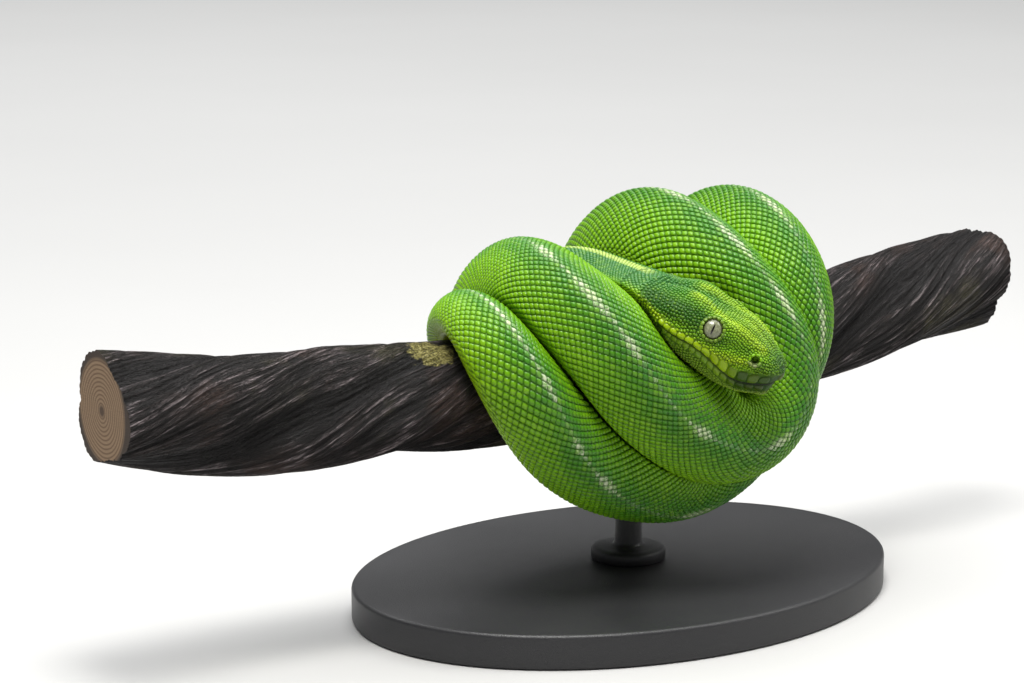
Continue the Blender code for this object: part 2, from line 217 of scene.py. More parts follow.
def fibre_depth(x, turn):
    """How deep the twisted bark is furrowed, 0 on the fibres' backs to 1."""
    t = fibre_turn(x, turn)
    grooves = 1 - np.abs(np.cos(1.5 * t + 0.01 * x)) ** 0.45
    plates = 1 - np.abs(np.sin(3.5 * t + 0.5 * np.sin(0.04 * x))) ** 0.6
    strands = 1 - np.abs(np.sin(9.5 * t + 0.8 * np.sin(0.06 * x + 1))) ** 0.7
    threads = 1 - np.abs(np.sin(24.5 * t + 1.2 * np.sin(0.11 * x + 2 * t)))
    frayed = 0.5 + 0.5 * np.sin(0.09 * x + 4 * t) * np.sin(0.031 * x - 2 * t)
    return np.clip(0.75 * grooves + 0.36 * plates + 0.30 * frayed * strands + 0.16 * threads, 0, 1)


def branch_outline(x, turn):
    """The branch's radius without its bark's furrows: three strands, smooth under the snake."""
    bare = np.clip((np.abs(x - COIL_MIDDLE) - COIL_HALF) / COIL_EDGE, 0, 1)
    twist = turn + FIBRE_TWIST * x
    strands = 0.75 * np.cos(3 * twist + 0.02 * x) + 0.3 * np.cos(2 * twist - 0.03 * x + 1)
    swell = 0.35 * np.sin(0.045 * x + 0.6)
    return BRANCH_RADIUS - BARK_INSIDE + STRAND_DEPTH * bare * (strands + swell)


def bark_material():
    """Black twisted fibres with grey streaks on their backs, the palest of them painted as the highlight of
    wet bark, painted nearly black as shade down the furrows, and a crust of lichen.
    """
    m = Nodes("twisted_bark")
    depth, grain = m.number("furrow"), m.vector("grain")
    streaks = m.noise(grain, 1.0, 5.0, 0.68, stretch=(0.075, 0.85, 1.0))
    threads = m.noise(grain, 1.0, 4.0, 0.6, stretch=(0.28, 4.5, 1.0))
    patches = m.noise(m.place(), 38.0, 3.0)
    # grey streaks along the fibres; the palest stop is a painted highlight, the sheen of wet bark
    ridges_and_sheen = m.ramp(streaks, (0.38, (0.003, 0.002, 0.002)), (0.50, (0.012, 0.009, 0.008)),
                    (0.56, (0.070, 0.054, 0.055)), (0.65, (0.430, 0.360, 0.370)))
    ridges_and_sheen = m.mix(m.step(patches, 0.52, 0.68, 0.0, 0.5), ridges_and_sheen, (0.080, 0.040, 0.028))
    ridges_and_sheen = m.mix(m.step(patches, 0.46, 0.34, 0.0, 0.5), ridges_and_sheen, (0.075, 0.068, 0.026))
    # painted shade: nearly black the deeper the furrow
    colour = m.mix(m.step(depth, 0.15, 0.55), ridges_and_sheen, (0.003, 0.002, 0.002))
    colour = m.mix(m.step(threads, 0.40, 0.60, 0.0, 0.75), colour, (0.006, 0.004, 0.004))
    crust = m.noise(m.place(), 420.0, 4.0, 0.7)
    lichen = m.step(m.math("ADD", m.number("lichen"), crust), 0.94, 1.10, 0.0, 0.9)
    speckle = m.ramp(m.noise(m.place(), 1500.0, 4.0, 0.7), (0.38, (0.03, 0.026, 0.01)),
                     (0.50, (0.24, 0.21, 0.05)), (0.64, (0.50, 0.45, 0.18)))
    colour = m.mix(lichen, colour, speckle)
    bumps = m.bump(threads, 0.0011, 1.0)
    bumps = m.bump(streaks, 0.0022, 1.0, bumps)
    bumps = m.bump(lichen, 0.0004, 0.6, bumps)
    bumps = m.bump(m.noise(m.place(), 900.0, 4.0), 0.00025, 0.7, bumps)
    rough = m.step(streaks, 0.45, 0.65, 0.65, 0.35)
    return m.finish(Base_Color=colour, Roughness=rough, Normal=bumps, Specular_IOR_Level=0.28)


def sawn_material():
    """Pale brown wood with year rings, a dark pith and the saw's fine marks."""
    m = Nodes("sawn_wood")
    ring = m.number("ring")
    wander = m.noise(m.place(), 90.0, 3.0)
    years = m.math("SINE", m.math("MULTIPLY_ADD", wander, 5.0, m.times(ring, 5.6)))
    wood = m.mix(m.step(years, -0.2, 0.95), (0.30, 0.20, 0.115), (0.155, 0.088, 0.046))
    wood = m.mix(m.step(ring, 12.6, 14.6), wood, (0.030, 0.020, 0.015))
    wood = m.mix(m.step(ring, 2.2, 0.8), wood, (0.07, 0.04, 0.022))
    saw = m.noise(m.place(), 1.0, 3.0, stretch=(200.0, 250.0, 2600.0))
    wood = m.mix(m.times(saw, 0.35), wood, (0.10, 0.062, 0.036))
    return m.finish(Base_Color=wood, Roughness=0.8, Normal=m.bump(saw, 0.0002, 0.8))


def make_perch():
    """The bark's tube, closed at both ends by sawn faces in rings."""
    x = np.linspace(BRANCH_FROM, BRANCH_TO, BARK_CUTS)[:, None]
    turn = np.linspace(-math.pi, math.pi, BARK_SIDES, endpoint=False)[None, :]
    depth = fibre_depth(x, turn)
    radius = branch_outline(x, turn) - FIBRE_DEPTH * depth
    shares = np.array(SAWN_RINGS)
    extra = len(shares)
    radius = np.concatenate([radius[0] * shares[::-1, None], radius, radius[-1] * shares[:, None]])
    x = np.pad(x, ((extra, extra), (0, 0)), mode="edge")
    depth = np.pad(depth, ((extra, extra), (0, 0)))
    grid = np.stack([x + 0 * radius, radius * np.sin(turn), radius * np.cos(turn) + branch_rise(x)], -1)
    ends = np.stack([grid[0].mean(0), grid[-1].mean(0)])
    points = np.concatenate([grid.reshape(-1, 3), ends])
    piece = new_piece("perch_bark", points, closed_tube(len(grid), BARK_SIDES), bark_material())
    piece.data.materials.append(sawn_material())
    bands = len(grid) - 1
    band = np.repeat(np.arange(bands), BARK_SIDES)
    sawn = np.append((band < extra) | (band >= bands - extra), np.ones(2 * BARK_SIDES, bool))
    piece.data.polygons.foreach_set("material_index", sawn.astype(np.int32))
    piece.data.polygons.foreach_set("use_smooth", ~sawn)
    grain = np.stack([x + 0 * turn, BRANCH_RADIUS * fibre_turn(x, turn), 0 * radius], -1)
    keep_numbers(piece, "grain", np.concatenate([grain.reshape(-1, 3), ends * 0]), "FLOAT_VECTOR")
    aside = (turn - LICHEN_TURN + math.pi) % (2 * math.pi) - math.pi
    lichen = np.exp(-((x - LICHEN_AT) / LICHEN_LONG) ** 2 - (aside / LICHEN_WIDE) ** 2)
    for name, values in (("furrow", depth), ("ring", radius), ("lichen", lichen)):
        keep_numbers(piece, name, np.append(values, (0, 0)))
    return piece


perch_bark = make_perch()
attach(perch_bark, "root")
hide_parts("perch")

# ------------------------------------------------------------------ the stand
# An oval steel plate with a turned edge, and one steel rod that rises from a
# screwed-down collar to the underside of the branch. Both are powder-coated
# matt black, and the coat has a fine grain.
BASE_ROUND = 1.2
BASE_UNDER, BASE_TOP = 8, (4, 30)       # level rings, in from the plate's edge
COLLAR = (                  # in from the collar's edge, and up from the plate
    (1, 0), (0.3, 0), (0, 0.3), (0, 2.6), (0.3, 3.2), (1, 3.6), (2.5, 3.75),
)
FILLET = ((1.3, 3.9), (0.4, 4.3), (0, 5.3))         # out from the rod, and up from the plate
ROD_RADIUS, COLLAR_RADIUS = 4.0, 11.0
ROD_SHORT, ROD_EDGE = 0.3, (0.3, 0.5)   # under the solid's top; its rounding across and down
BASE_SIDES, ROD_SIDES = 180, 48


def node_box(node):
    """A node's low and high corners, in millimetres about the branch's axis under the coil."""
    return np.array([list(corner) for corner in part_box(node)]) / MM - ORIGIN


def powder_coat_material():
    """Matt black with a fine grain."""
    m = Nodes("black_powder_coat")
    grain = m.noise(m.place(), 2600.0, 2.0)
    cloud = m.noise(m.place(), 22.0, 3.0)
    colour = m.mix(cloud, (0.013, 0.013, 0.015), (0.026, 0.026, 0.028))
    colour = m.mix(m.step(grain, 0.62, 0.78, 0.0, 0.5), colour, (0.05, 0.05, 0.052))
    rough = m.step(cloud, 0.2, 0.8, 0.40, 0.52)
    return m.finish(Base_Color=colour, Roughness=rough, Normal=m.bump(grain, 0.00012, 0.8),
                    Specular_IOR_Level=0.5)


def turned(name, profile, middle, half, sides):
    """A closed turned shape; the profile goes from the foot up, as (in from the edge, height)."""
    turn = np.linspace(0, 2 * math.pi, sides, endpoint=False)
    inset, height = np.array(profile, float).T[:, :, None]
    x = middle[0] + (half[0] - inset) * np.cos(turn)
    y = middle[1] + (half[1] - inset) * np.sin(turn)
    grid = np.stack([x, y, height + 0 * turn], -1)
    ends = [(*middle[:2], height[0, 0]), (*middle[:2], height[-1, 0])]
    points = np.concatenate([grid.reshape(-1, 3), ends])
    return new_piece(name, points, turned_over(closed_tube(len(grid), sides)), powder_coat)


def rounded_edge(inset, low, high, steps=5):
    """An upright edge rounded at both ends, as (in from the edge, height)."""
    bend = np.linspace(0, math.pi / 2, steps)
    lower = [(inset * (1 - math.sin(a)), low + inset * (1 - math.cos(a))) for a in bend]
    upper = [(inset * (1 - math.cos(a)), high - inset * (1 - math.sin(a))) for a in bend]
    return lower + upper


powder_coat = powder_coat_material()
base_low, base_high = node_box("stand_base")
rod_low, rod_high = node_box("stand_rod")
floor, base_top, foot, rod_top = base_low[2], base_high[2], rod_low[2], rod_high[2] - ROD_SHORT
base_profile = [(BASE_UNDER, floor)] + rounded_edge(BASE_ROUND, floor, base_top)
base_profile += [(inset, base_top) for inset in BASE_TOP]
base_middle, base_half = (base_low + base_high) / 2, (base_high - base_low) / 2
stand_base = turned("stand_plate", base_profile, base_middle, base_half, BASE_SIDES)
rod_inset = COLLAR_RADIUS - ROD_RADIUS
rod_profile = [(inset, foot + up) for inset, up in COLLAR]
rod_profile += [(rod_inset - out, foot + up) for out, up in FILLET]
rod_profile += [(rod_inset, rod_top - ROD_EDGE[1]), (rod_inset + ROD_EDGE[0], rod_top)]
rod_middle, rod_half = (rod_low + rod_high) / 2, (COLLAR_RADIUS, COLLAR_RADIUS)
stand_rod = turned("stand_post", rod_profile, rod_middle, rod_half, ROD_SIDES)
for piece, node in ((stand_base, "stand_base"), (stand_rod, "stand_rod")):
    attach(piece, "root")
    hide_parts(node)

# -------------------------------------------------------------- the snake's line
# One line runs from the snout to the tail's tip: the straight head, the neck,
# and the body, which drapes over the branch in loops that press on each other.
# The solids follow the same line; the skin and every scale are laid along it.
HEAD_LENGTH = 43.4
HEAD_START = (-11.2, -26.8, 28.2)       # the nape
HEAD_FORWARD = (0.52, -0.72, -0.44)
HEAD_UP = (0.14, -0.48, 0.865)
HEAD_ROWS = (               # from the snout: distance, half width, above, below
    (0.0, 2.8, 0.8, 3.3), (0.7, 4.3, 1.8, 6.9), (2.0, 5.5, 2.6, 8.8), (4.0, 6.5, 3.9, 9.5),
    (8.5, 7.8, 6.5, 11.3), (13.5, 8.9, 8.4, 11.9), (18.5, 10.2, 8.5, 11.2), (23.5, 11.8, 8.5, 9.8),
    (28.5, 13.0, 9.3, 8.3), (32.5, 13.0, 8.8, 6.9), (37.5, 11.4, 7.3, 6.1), (43.4, 10.4, 5.5, 7.6),
)
CROWN_BOX, JAW_BOX = 0.4, 0.7           # how much squarer than an oval, above and below
FIRM_FROM, FIRM_TO = 29.0, 39.0         # firm up to one distance from the snout, soft beyond the other
NECK_START, NECK_REACH, NECK_RINGS = 3.0, 8.0, 8        # before the nape; how far its curve eases
RIDGE = (                   # along, over and out from the branch; half height, half width, lean
    (-11.2, 10, 37.9, 8.4, 10.8, 0), (-15, -8, 38.8, 8.8, 10.6, 0),      # the neck
    (-18.5, -27, 40, 9.6, 10, 0), (-18.5, -44, 42.5, 10.5, 9.5, 0),        # the inner back turn
    (-14, -55, 44, 11.5, 10, 0), (-4.5, -60, 46, 12.5, 10.5, 0),
    (5, -56, 48, 13.5, 11, 0), (9.3, -44, 49.5, 15, 12.5, 0),
    (9.7, -25, 51, 16, 14, 0), (11, -4, 52.5, 17, 14.5, 0),             # the inner loop
    (15, 21, 52, 17, 14.5, 0), (24, 37, 51, 17, 14.5, -5),
    (30, 52, 50, 17, 15, -12), (26.5, 63, 50, 16.5, 16, -10),           # under the head
    (13, 69, 50, 16, 15.5, -8), (-4, 62, 49, 15.5, 15.5, -8),
    (-31, 35, 48, 15, 16, -13), (-38, 16, 45, 14, 15, -15),             # the left loop
    (-34.5, -6, 43, 13.5, 14.5, -10), (-32.5, -30, 43, 13.5, 14, -5),
    (-29, -54, 41, 13.5, 13.5, -15), (-14, -75, 34, 13.5, 13.5, -35),   # the outer back turn
    (5, -83, 31, 13.5, 13.5, -45), (23, -75, 34, 13.5, 13.5, -35),
    (35, -54, 42, 14, 13.5, -15), (38.5, -30, 47.5, 15.5, 14, -5),      # the right loop
    (40, -4, 49, 16, 14.5, 0), (38.5, 24, 49, 16, 14.5, 0),
    (38, 46, 45, 14.5, 13.5, -8), (33.5, 67, 37, 13.5, 12.5, -24),      # the lowest turn
    (22, 85, 31, 14, 14, -40), (4, 91, 27, 15, 16, -48),
    (-16, 84, 31, 14.5, 16.5, -38), (-38, 66, 36, 14, 14, -15),
    (-49.5, 46, 37, 12.5, 12.5, 0), (-55.5, 25, 34.5, 10.5, 11, 0),     # the tail
    (-55, 4, 31.5, 8, 9.5, 0), (-53, -16, 29, 6.5, 7.5, 0), (-48, -38, 27, 5.5, 6, 0),
    (-38, -58, 25, 4.2, 4.2, 0), (-26, -70, 21, 2.8, 2.8, -30), (-12, -76, 17, 1.0, 1.0, -40),
)
DRAPE_RADIUS = 33.0         # a loop lies round the branch, then hangs
UNDER_SHARE = 0.9           # depth under the body's middle, as a share of that above it
BACK_RIDGE, RIDGE_HALF, FLANK_TUCK = 0.05, 0.38, 0.10
EASY_BEND, FULL_BEND = 0.55, 0.85       # shares of a bend's radius that the body may fill
LINE_STEP = 1.5
LOOP_GAP, BRANCH_GAP = 0.35, 0.3
APART_ALONG, APART_ACROSS = 1.7, (1.25, 6)      # which rings are neighbours of a ring
SMOOTHING, PRESSES = 3, 3


def over_branch(x, over, out):
    """A place given along, over and out from the branch, and the way outward."""
    turn = np.clip(over / DRAPE_RADIUS, -math.pi / 2, math.pi / 2)
    hang = np.maximum(np.abs(over) - DRAPE_RADIUS * math.pi / 2, 0.0)
    place = np.stack([x, -out * np.sin(turn), out * np.cos(turn) - hang + branch_rise(x)], -1)
    return place, np.stack([0 * x, -np.sin(turn), np.cos(turn)], -1)


def curve_through(rows, knots, places):
    """A smooth curve through rows set at knots, read at places."""
    gap = np.diff(knots)[:, None]
    slope = np.diff(rows, axis=0) / gap
    lean = np.empty_like(rows)
    lean[1:-1] = (slope[:-1] * gap[1:] + slope[1:] * gap[:-1]) / (gap[1:] + gap[:-1])
    lean[0], lean[-1] = slope[0], slope[-1]
    i = np.clip(np.searchsorted(knots, places, side="right") - 1, 0, len(knots) - 2)
    t = ((places - knots[i]) / gap[i, 0])[:, None]
    a = (2 * t ** 3 - 3 * t ** 2 + 1) * rows[i] + (t ** 3 - 2 * t ** 2 + t) * gap[i] * lean[i]
    b = (3 * t ** 2 - 2 * t ** 3) * rows[i + 1] + (t ** 3 - t ** 2) * gap[i] * lean[i + 1]
    return a + b


def smoothed(values):
    """Each row's mean with its neighbours on both sides."""
    k = SMOOTHING
    wide = np.pad(values, ((k, k), (0, 0)), mode="reflect", reflect_type="odd")
    return sum(wide[j:j + len(values)] for j in range(2 * k + 1)) / (2 * k + 1)


def along(points):
    """The distance run from the first point to each."""
    steps = np.linalg.norm(np.diff(points, axis=0), axis=1)
    return np.concatenate([[0.0], np.cumsum(steps)])


def body_line():
    """Centres, ridge directions and half sizes of the body from neck to tail tip."""
    rows = np.array(RIDGE, float)
    knots = along(over_branch(*rows[:, :3].T)[0])
    places = np.linspace(0, knots[-1], int(knots[-1] / LINE_STEP) + 1)
    rows = curve_through(rows, knots, places)
    ridge, outward = over_branch(*rows[:, :3].T)
    ridge, outward = smoothed(smoothed(ridge)), smoothed(outward)
    heading = unit(np.gradient(ridge, axis=0))
    up = unit(outward - (outward * heading).sum(1)[:, None] * heading)
    lean = np.radians(rows[:, 5:6])
    up = np.cos(lean) * up + np.sin(lean) * np.cross(heading, up)
    return smoothed(ridge - up * rows[:, 3:4]), up, rows[:, 3:5]


forward = unit(np.array(HEAD_FORWARD))
head_top = np.array(HEAD_UP)
head_top = unit(head_top - (head_top @ forward) * forward)
head_left = np.cross(head_top, forward)


def from_head(q):
    """Places from head coordinates: back from the snout, to the left, and up."""
    start = np.array(HEAD_START)
    return start + (HEAD_LENGTH - q[..., :1]) * forward + q[..., 1:2] * head_left + q[..., 2:] * head_top


def to_head(points):
    """Head coordinates of places; undoes from_head."""
    q = points - np.array(HEAD_START)
    return np.stack([HEAD_LENGTH - q @ forward, q @ head_left, q @ head_top], -1)


def head_line():
    """The straight head's centres and up ways, and how far back they lie."""
    back = np.arange(0.0, HEAD_LENGTH - NECK_START, LINE_STEP)
    centres = from_head(back[:, None] * (1, 0, 0))
    return centres, np.tile(head_top, (len(back), 1)), back


def whole_line():
    """The rings' centres, directions and sizes, from the snout to the tail's tip."""
    head, head_up, back = head_line()
    body, body_up, sizes = body_line()
    rows = np.array(HEAD_ROWS)
    head_sizes = curve_through(rows[:, 1:], rows[:, 0], back)
    gap = np.linalg.norm(body[0] - head[-1])
    fill = np.linspace(0, 1, max(int(gap / LINE_STEP), 2) + 1)[1:-1]
    knots = np.array([-NECK_REACH, 0.0, gap, gap + NECK_REACH])
    before = head[-1] - NECK_REACH * unit(head[-1] - head[-2])
    ends = np.stack([before, head[-1], body[0], body[int(NECK_REACH / LINE_STEP)]])
    bridge = curve_through(ends, knots, fill * gap)
    bridge_up = (1 - fill)[:, None] * head_up[-1] + fill[:, None] * body_up[0]
    width = np.stack([sizes[:, 1], sizes[:, 0], UNDER_SHARE * sizes[:, 0]], -1)
    mix = fill[:, None] * width[0] + (1 - fill)[:, None] * head_sizes[-1]
    centre = np.concatenate([head, bridge, body])
    up = np.concatenate([head_up, bridge_up, body_up])
    size = np.concatenate([head_sizes, mix, width])
    headness = np.concatenate([np.ones(len(head)), 1 - fill, np.zeros(len(body))])
    inner = smoothed(smoothed(np.concatenate([centre, up], 1)))
    keep = len(head) - NECK_RINGS
    centre[keep:], up[keep:] = inner[keep:, :3], inner[keep:, 3:]
    heading = unit(np.gradient(centre, axis=0))
    up = unit(up - (up * heading).sum(1)[:, None] * heading)
    at = along(centre)
    bend = smoothed(np.gradient(heading, axis=0) / np.gradient(at)[:, None])
    firm = np.clip((FIRM_TO - at) / (FIRM_TO - FIRM_FROM), 0, 1)
    return dict(bend=bend, centre=centre, heading=heading, up=up, side=np.cross(heading, up),
                size=size, head=headness, firm=firm, at=at)


def at_places(line, places):
    """The line's rings read at other distances from the snout."""
    out = {}
    for key, values in line.items():
        flat = values.reshape(len(values), -1)
        read = np.stack([np.interp(places, line["at"], column) for column in flat.T], -1)
        out[key] = read.reshape((len(places),) + values.shape[1:])
    for key in ("heading", "up", "side"):
        out[key] = unit(out[key])
    rows, front = np.array(HEAD_ROWS), places < HEAD_LENGTH - NECK_REACH
    out["size"][front] = curve_through(rows[:, 1:], rows[:, 0], places[front])
    return out


def squeezed(offset, bend):
    """The inside of a tight bend stays short of the bend's own centre."""
    share = (offset * bend).sum(-1, keepdims=True)
    room = FULL_BEND - EASY_BEND
    limited = EASY_BEND + room * (1 - np.exp(-(share - EASY_BEND) / room))
    cut = np.where(share > EASY_BEND, share - limited, 0)
    return offset - bend * cut / np.maximum((bend ** 2).sum(-1, keepdims=True), 1e-9)


def rings(line, angles):
    """The body's outline round each ring; angle 0 is the ridge of the back."""
    up, side = np.cos(angles)[None, :], np.sin(angles)[None, :]
    head = line["head"][:, None]
    box = 2 / (2 + np.where(up > 0, CROWN_BOX, JAW_BOX) * head)
    up, side = np.sign(up) * np.abs(up) ** box, np.sign(side) * np.abs(side) ** box
    width, above, below = (line["size"][:, k, None] for k in range(3))
    ridge = BACK_RIDGE * (np.exp(-(angles / RIDGE_HALF) ** 2)[None, :] - 1) * (1 - head)
    height = np.where(up > 0, above * (up + ridge), below * up)
    reach = width * side * (1 - FLANK_TUCK * np.clip(up, 0, 1) * (1 - head))
    offset = line["up"][:, None] * height[..., None] + line["side"][:, None] * reach[..., None]
    return line["centre"][:, None] + squeezed(offset, line["bend"][:, None])


def reach_towards(line, rings_at, way):
    """How far rings reach from their centres along a way."""
    width, above, below = np.moveaxis(line["size"][rings_at], -1, 0)
    up = (way * line["up"][rings_at]).sum(-1)
    side = (way * line["side"][rings_at]).sum(-1)
    box = 2 + np.where(up > 0, CROWN_BOX, JAW_BOX) * line["head"][rings_at]
    power = box / (box - 1)
    high = np.abs(np.where(up > 0, above, below) * up)
    return (np.abs(width * side) ** power + high ** power) ** (1 / power)


def pressed(points, line, whole):
    """Each loop keeps to its own side of the plane to the next; the face keeps its shape."""
    out = points.copy()
    girth, others = line["size"].mean(1), whole["size"].mean(1)
    for i, centre in enumerate(line["centre"]):
        away = whole["centre"] - centre
        far = np.linalg.norm(away, axis=1)
        reach = girth[i] + others
        near = np.abs(whole["at"] - line["at"][i]) > APART_ALONG * reach
        near &= far < APART_ACROSS[0] * reach + APART_ACROSS[1]
        firm = line["firm"][i]
        if firm == 1 or not near.any():
            continue
        normal = away[near] / far[near, None]
        limit = (1 - firm) * (far[near] * girth[i] / reach[near] - LOOP_GAP / 2)
        limit += firm * reach_towards(line, i, normal)
        beside_firm = far[near] - reach_towards(whole, near, -normal) - LOOP_GAP
        limit += whole["firm"][near] * (beside_firm - limit)
        for _ in range(PRESSES):
            over = np.maximum((out[i] - centre) @ normal.T - limit, 0)
            worst = over.argmax(1)
            out[i] -= normal[worst] * over[np.arange(len(worst)), worst][:, None]
    return out


def clear_of_branch(points):
    """Push points out of the branch."""
    rise = branch_rise(points[..., 0])
    y, z = points[..., 1], points[..., 2] - rise
    grow = np.maximum((BRANCH_RADIUS + BRANCH_GAP) / np.maximum(np.hypot(y, z), 1e-6), 1)
    return np.stack([points[..., 0], y * grow, z * grow + rise], -1)


snake = whole_line()
SNAKE_LENGTH = snake["at"][-1]

# --------------------------------------------------------------- the skin
# One closed skin from the snout round every loop to the tail's tip, lying just
# under the scales. It shows as dark green lines between them, and it carries
# the face: mouth, nostrils, eye sockets, brow, jaw and the folds of the bends.
SKIN_SIDES = 184
HEAD_STEP, BODY_STEP = 0.3, 2.2
FACE_END = 46.0
COAT_DEPTH, FACE_COAT_DEPTH = 0.5, 0.28
TAIL_THINS, TIP_DEPTH = 60.0, 0.3       # the coat thins over the tail's last stretch to this share
SNOUT_CAP = ((0.2, 0.67), (0.42, 0.56), (0.64, 0.40), (0.84, 0.20))     # share of the first ring, ahead
CAP_FROM, CAP_TO = -1.5, -0.3           # the cap's rings along the line
SNOUT_TIP, TAIL_TIP = 0.05, 0.4         # how far the closing points stand out
FOLD_FROM, FOLD_MOST, FOLD_DEPTH, FOLD_GAP = 0.42, 0.4, 1.1, 4.3

# On the face a place is given back from the snout, out to the side, and up.
EYE_BACK, EYE_SIDE, EYE_UP, EYE_RADIUS = 21.4, 7.4, 4.3, 3.3
GAZE = unit(np.array([-0.2, 0.84, 0.48]))
SOCKET_FROM, SOCKET_TO, SOCKET_DEPTH = 2.85, 2.5, 1.8
EYE_LID, EYE_BARE = (0.35, 3.1, 0.5), 3.7       # height, radius, half width; no granules within
MOUTH = (                   # back, up
    (0, -3.0), (2, -3.6), (5, -4.9), (8, -5.9), (10.5, -6.1), (14.5, -5.0), (19.5, -2.7), (24.5, -1.0),
    (28.5, -0.7), (36, 0.2),
)
MOUTH_END, MOUTH_DEPTH, MOUTH_HALF = 34.5, 0.55, 0.4
NOSTRIL = np.array([7.0, 7.05, 2.5])
NOSTRIL_OUT = unit(np.array([-0.30, 0.85, 0.42]))
NOSTRIL_FROM, NOSTRIL_TO, NOSTRIL_DEPTH = 1.2, 0.7, 2.0
NOSTRIL_LIP, NOSTRIL_BARE = (0.30, 1.65, 0.6), 1.90
LIP_RIDGE = (
    (34, 12.7, 0.5), (28.5, 12.9, 0.5), (22, 11.3, -0.3), (16.5, 9.6, -0.7), (12, 8.6, 0.0), (9.5, 8.0, 0.9),
)
FACE_LINES = (              # ridges and grooves: height, path, half width
    (0.55, LIP_RIDGE, 1.1),
    (0.60, ((21.0, 6.6, 7.9), (13.5, 5.7, 7.0), (8.0, 4.8, 5.5)), 1.0),         # from brow to nostril
    (-0.65, ((24.5, 10.3, 2.6), (29, 12.2, 3.3), (34, 12.0, 3.0)), 0.9),        # behind the eye
)
FACE_FORMS = (              # swellings and hollows: height, middle, half widths
    (-0.95, (14.0, 8.9, 3.6), (4.2, 3.0, 1.9)),         # before the eye
    (-0.25, (6.5, 7.0, -1.6), (3.5, 3.0, 1.2)),         # under the nostril
    (0.75, (21.3, 7.3, 7.8), (4.5, 1.8, 1.5)),          # the brow
    (0.30, (25.5, 5.5, 8.8), (3.0, 3.0, 3.0)),          # behind the brow
    (0.35, (12.5, 2.6, 8.0), (2.6, 1.6, 3.0)),          # the snout's two pairs of lobes
    (0.45, (6.5, 2.3, 5.6), (2.0, 1.4, 3.0)),
    (0.55, (10.6, 8.1, -1.6), (1.8, 2.5, 1.5)),         # between the nostril and the lip
    (0.75, (31.5, 10.3, 5.6), (5.0, 3.4, 2.6)),         # the jaw's muscle
    (0.35, (30, 4.5, 9.0), (5.5, 2.4, 3.0)),            # the crown's lobe
    (-0.40, (21.5, 0.0, 8.6), (3.5, 3.4, 2.0)),         # between the eyes
)
PALE_FLECKS_AND_SHEEN = (             # where white scales gather on the crest, under a painted sheen, and over how far
    (204, 5), (222, 7), (238, 5), (272, 4), (298, 4), (326, 3), (338, 7), (353, 4), (402, 6), (441, 5),
    (482, 8), (521, 5), (548, 6), (576, 6), (601, 4), (632, 5), (668, 5), (683, 3), (700, 4), (716, 10),
    (747, 4), (776, 4),
)
YELLOW_STREAK = ((30, 3.2, 9.2), (23, 4.6, 8.4), (14, 5.0, 7.3), (7, 4.0, 5.1))
DUSKY_PATCHES = (           # behind, before and under the eye: strength, path, half width
    (1.0, ((24.8, 9.6, 5.6), (29, 10.2, 6.4), (35, 10.4, 5.2), (41, 8.6, 4.4)), 3.2),
    (0.8, ((18.0, 9.4, 3.4), (13, 8.8, 3.6), (10, 8.0, 4.0)), 1.5),
    (0.8, ((24, 10.6, 2.6), (18.5, 9.9, 2.2)), 0.9),
)
FACE_TONES = (              # marking, strength, colour
    # the second tone is painted shade on the front lips and the snout's front
    ("jaw", 0.80, (0.140, 0.235, 0.014)), ("snout_shade", 0.94, (0.018, 0.034, 0.001)),
    ("lip", 0.85, (0.310, 0.430, 0.003)), ("lid", 0.85, (0.120, 0.200, 0.020)),
    ("nose", 0.75, (0.250, 0.235, 0.130)),
)


def hill(q, at, spread):
    """1 at a place, fading with its own half width in each direction."""
    return np.exp(-(((q - np.array(at)) / np.array(spread)) ** 2).sum(-1))


def rope(q, path, spread):
    """1 on a path of straight stretches, fading with distance from it."""
    path = np.array(path, float)
    near = np.full(q.shape[:-1], np.inf)
    for a, b in zip(path[:-1], path[1:]):
        share = np.clip(((q - a) @ (b - a)) / ((b - a) @ (b - a)), 0, 1)
        near = np.minimum(near, np.linalg.norm(q - a - share[..., None] * (b - a), axis=-1))
    return np.exp(-(near / spread) ** 2)


def ease(values, low, high):
    """Smoothly from 0 to 1 as values go from low to high."""
    t = np.clip((values - low) / (high - low), 0, 1)
    return t * t * (3 - 2 * t)


def face_place(points):
    """Head coordinates that are the same on both sides of the face."""
    q = to_head(points)
    q[..., 1] = np.abs(q[..., 1])
    return q


def from_nostril(q):
    """Distance from the nostril's middle."""
    return np.linalg.norm(q - NOSTRIL, axis=-1)


def rim(apart, height, radius, half_width):
    """A round rim about an opening."""
    return height * np.exp(-((apart - radius) / half_width) ** 2)


def above_mouth(q):
    """Height over the line of the mouth."""
    knots = np.array(MOUTH, float)
    line = curve_through(knots[:, 1:], knots[:, 0], np.clip(q[..., 0], 0, MOUTH[-1][0]).ravel())
    return q[..., 2] - line[:, 0].reshape(q.shape[:-1])


def eye_distance(q):
    """Distance from the line that the eye looks along, and from its centre along that line."""
    away = q - np.array([EYE_BACK, EYE_SIDE, EYE_UP])
    ahead = away @ GAZE
    return np.linalg.norm(away - ahead[..., None] * GAZE, axis=-1), ahead


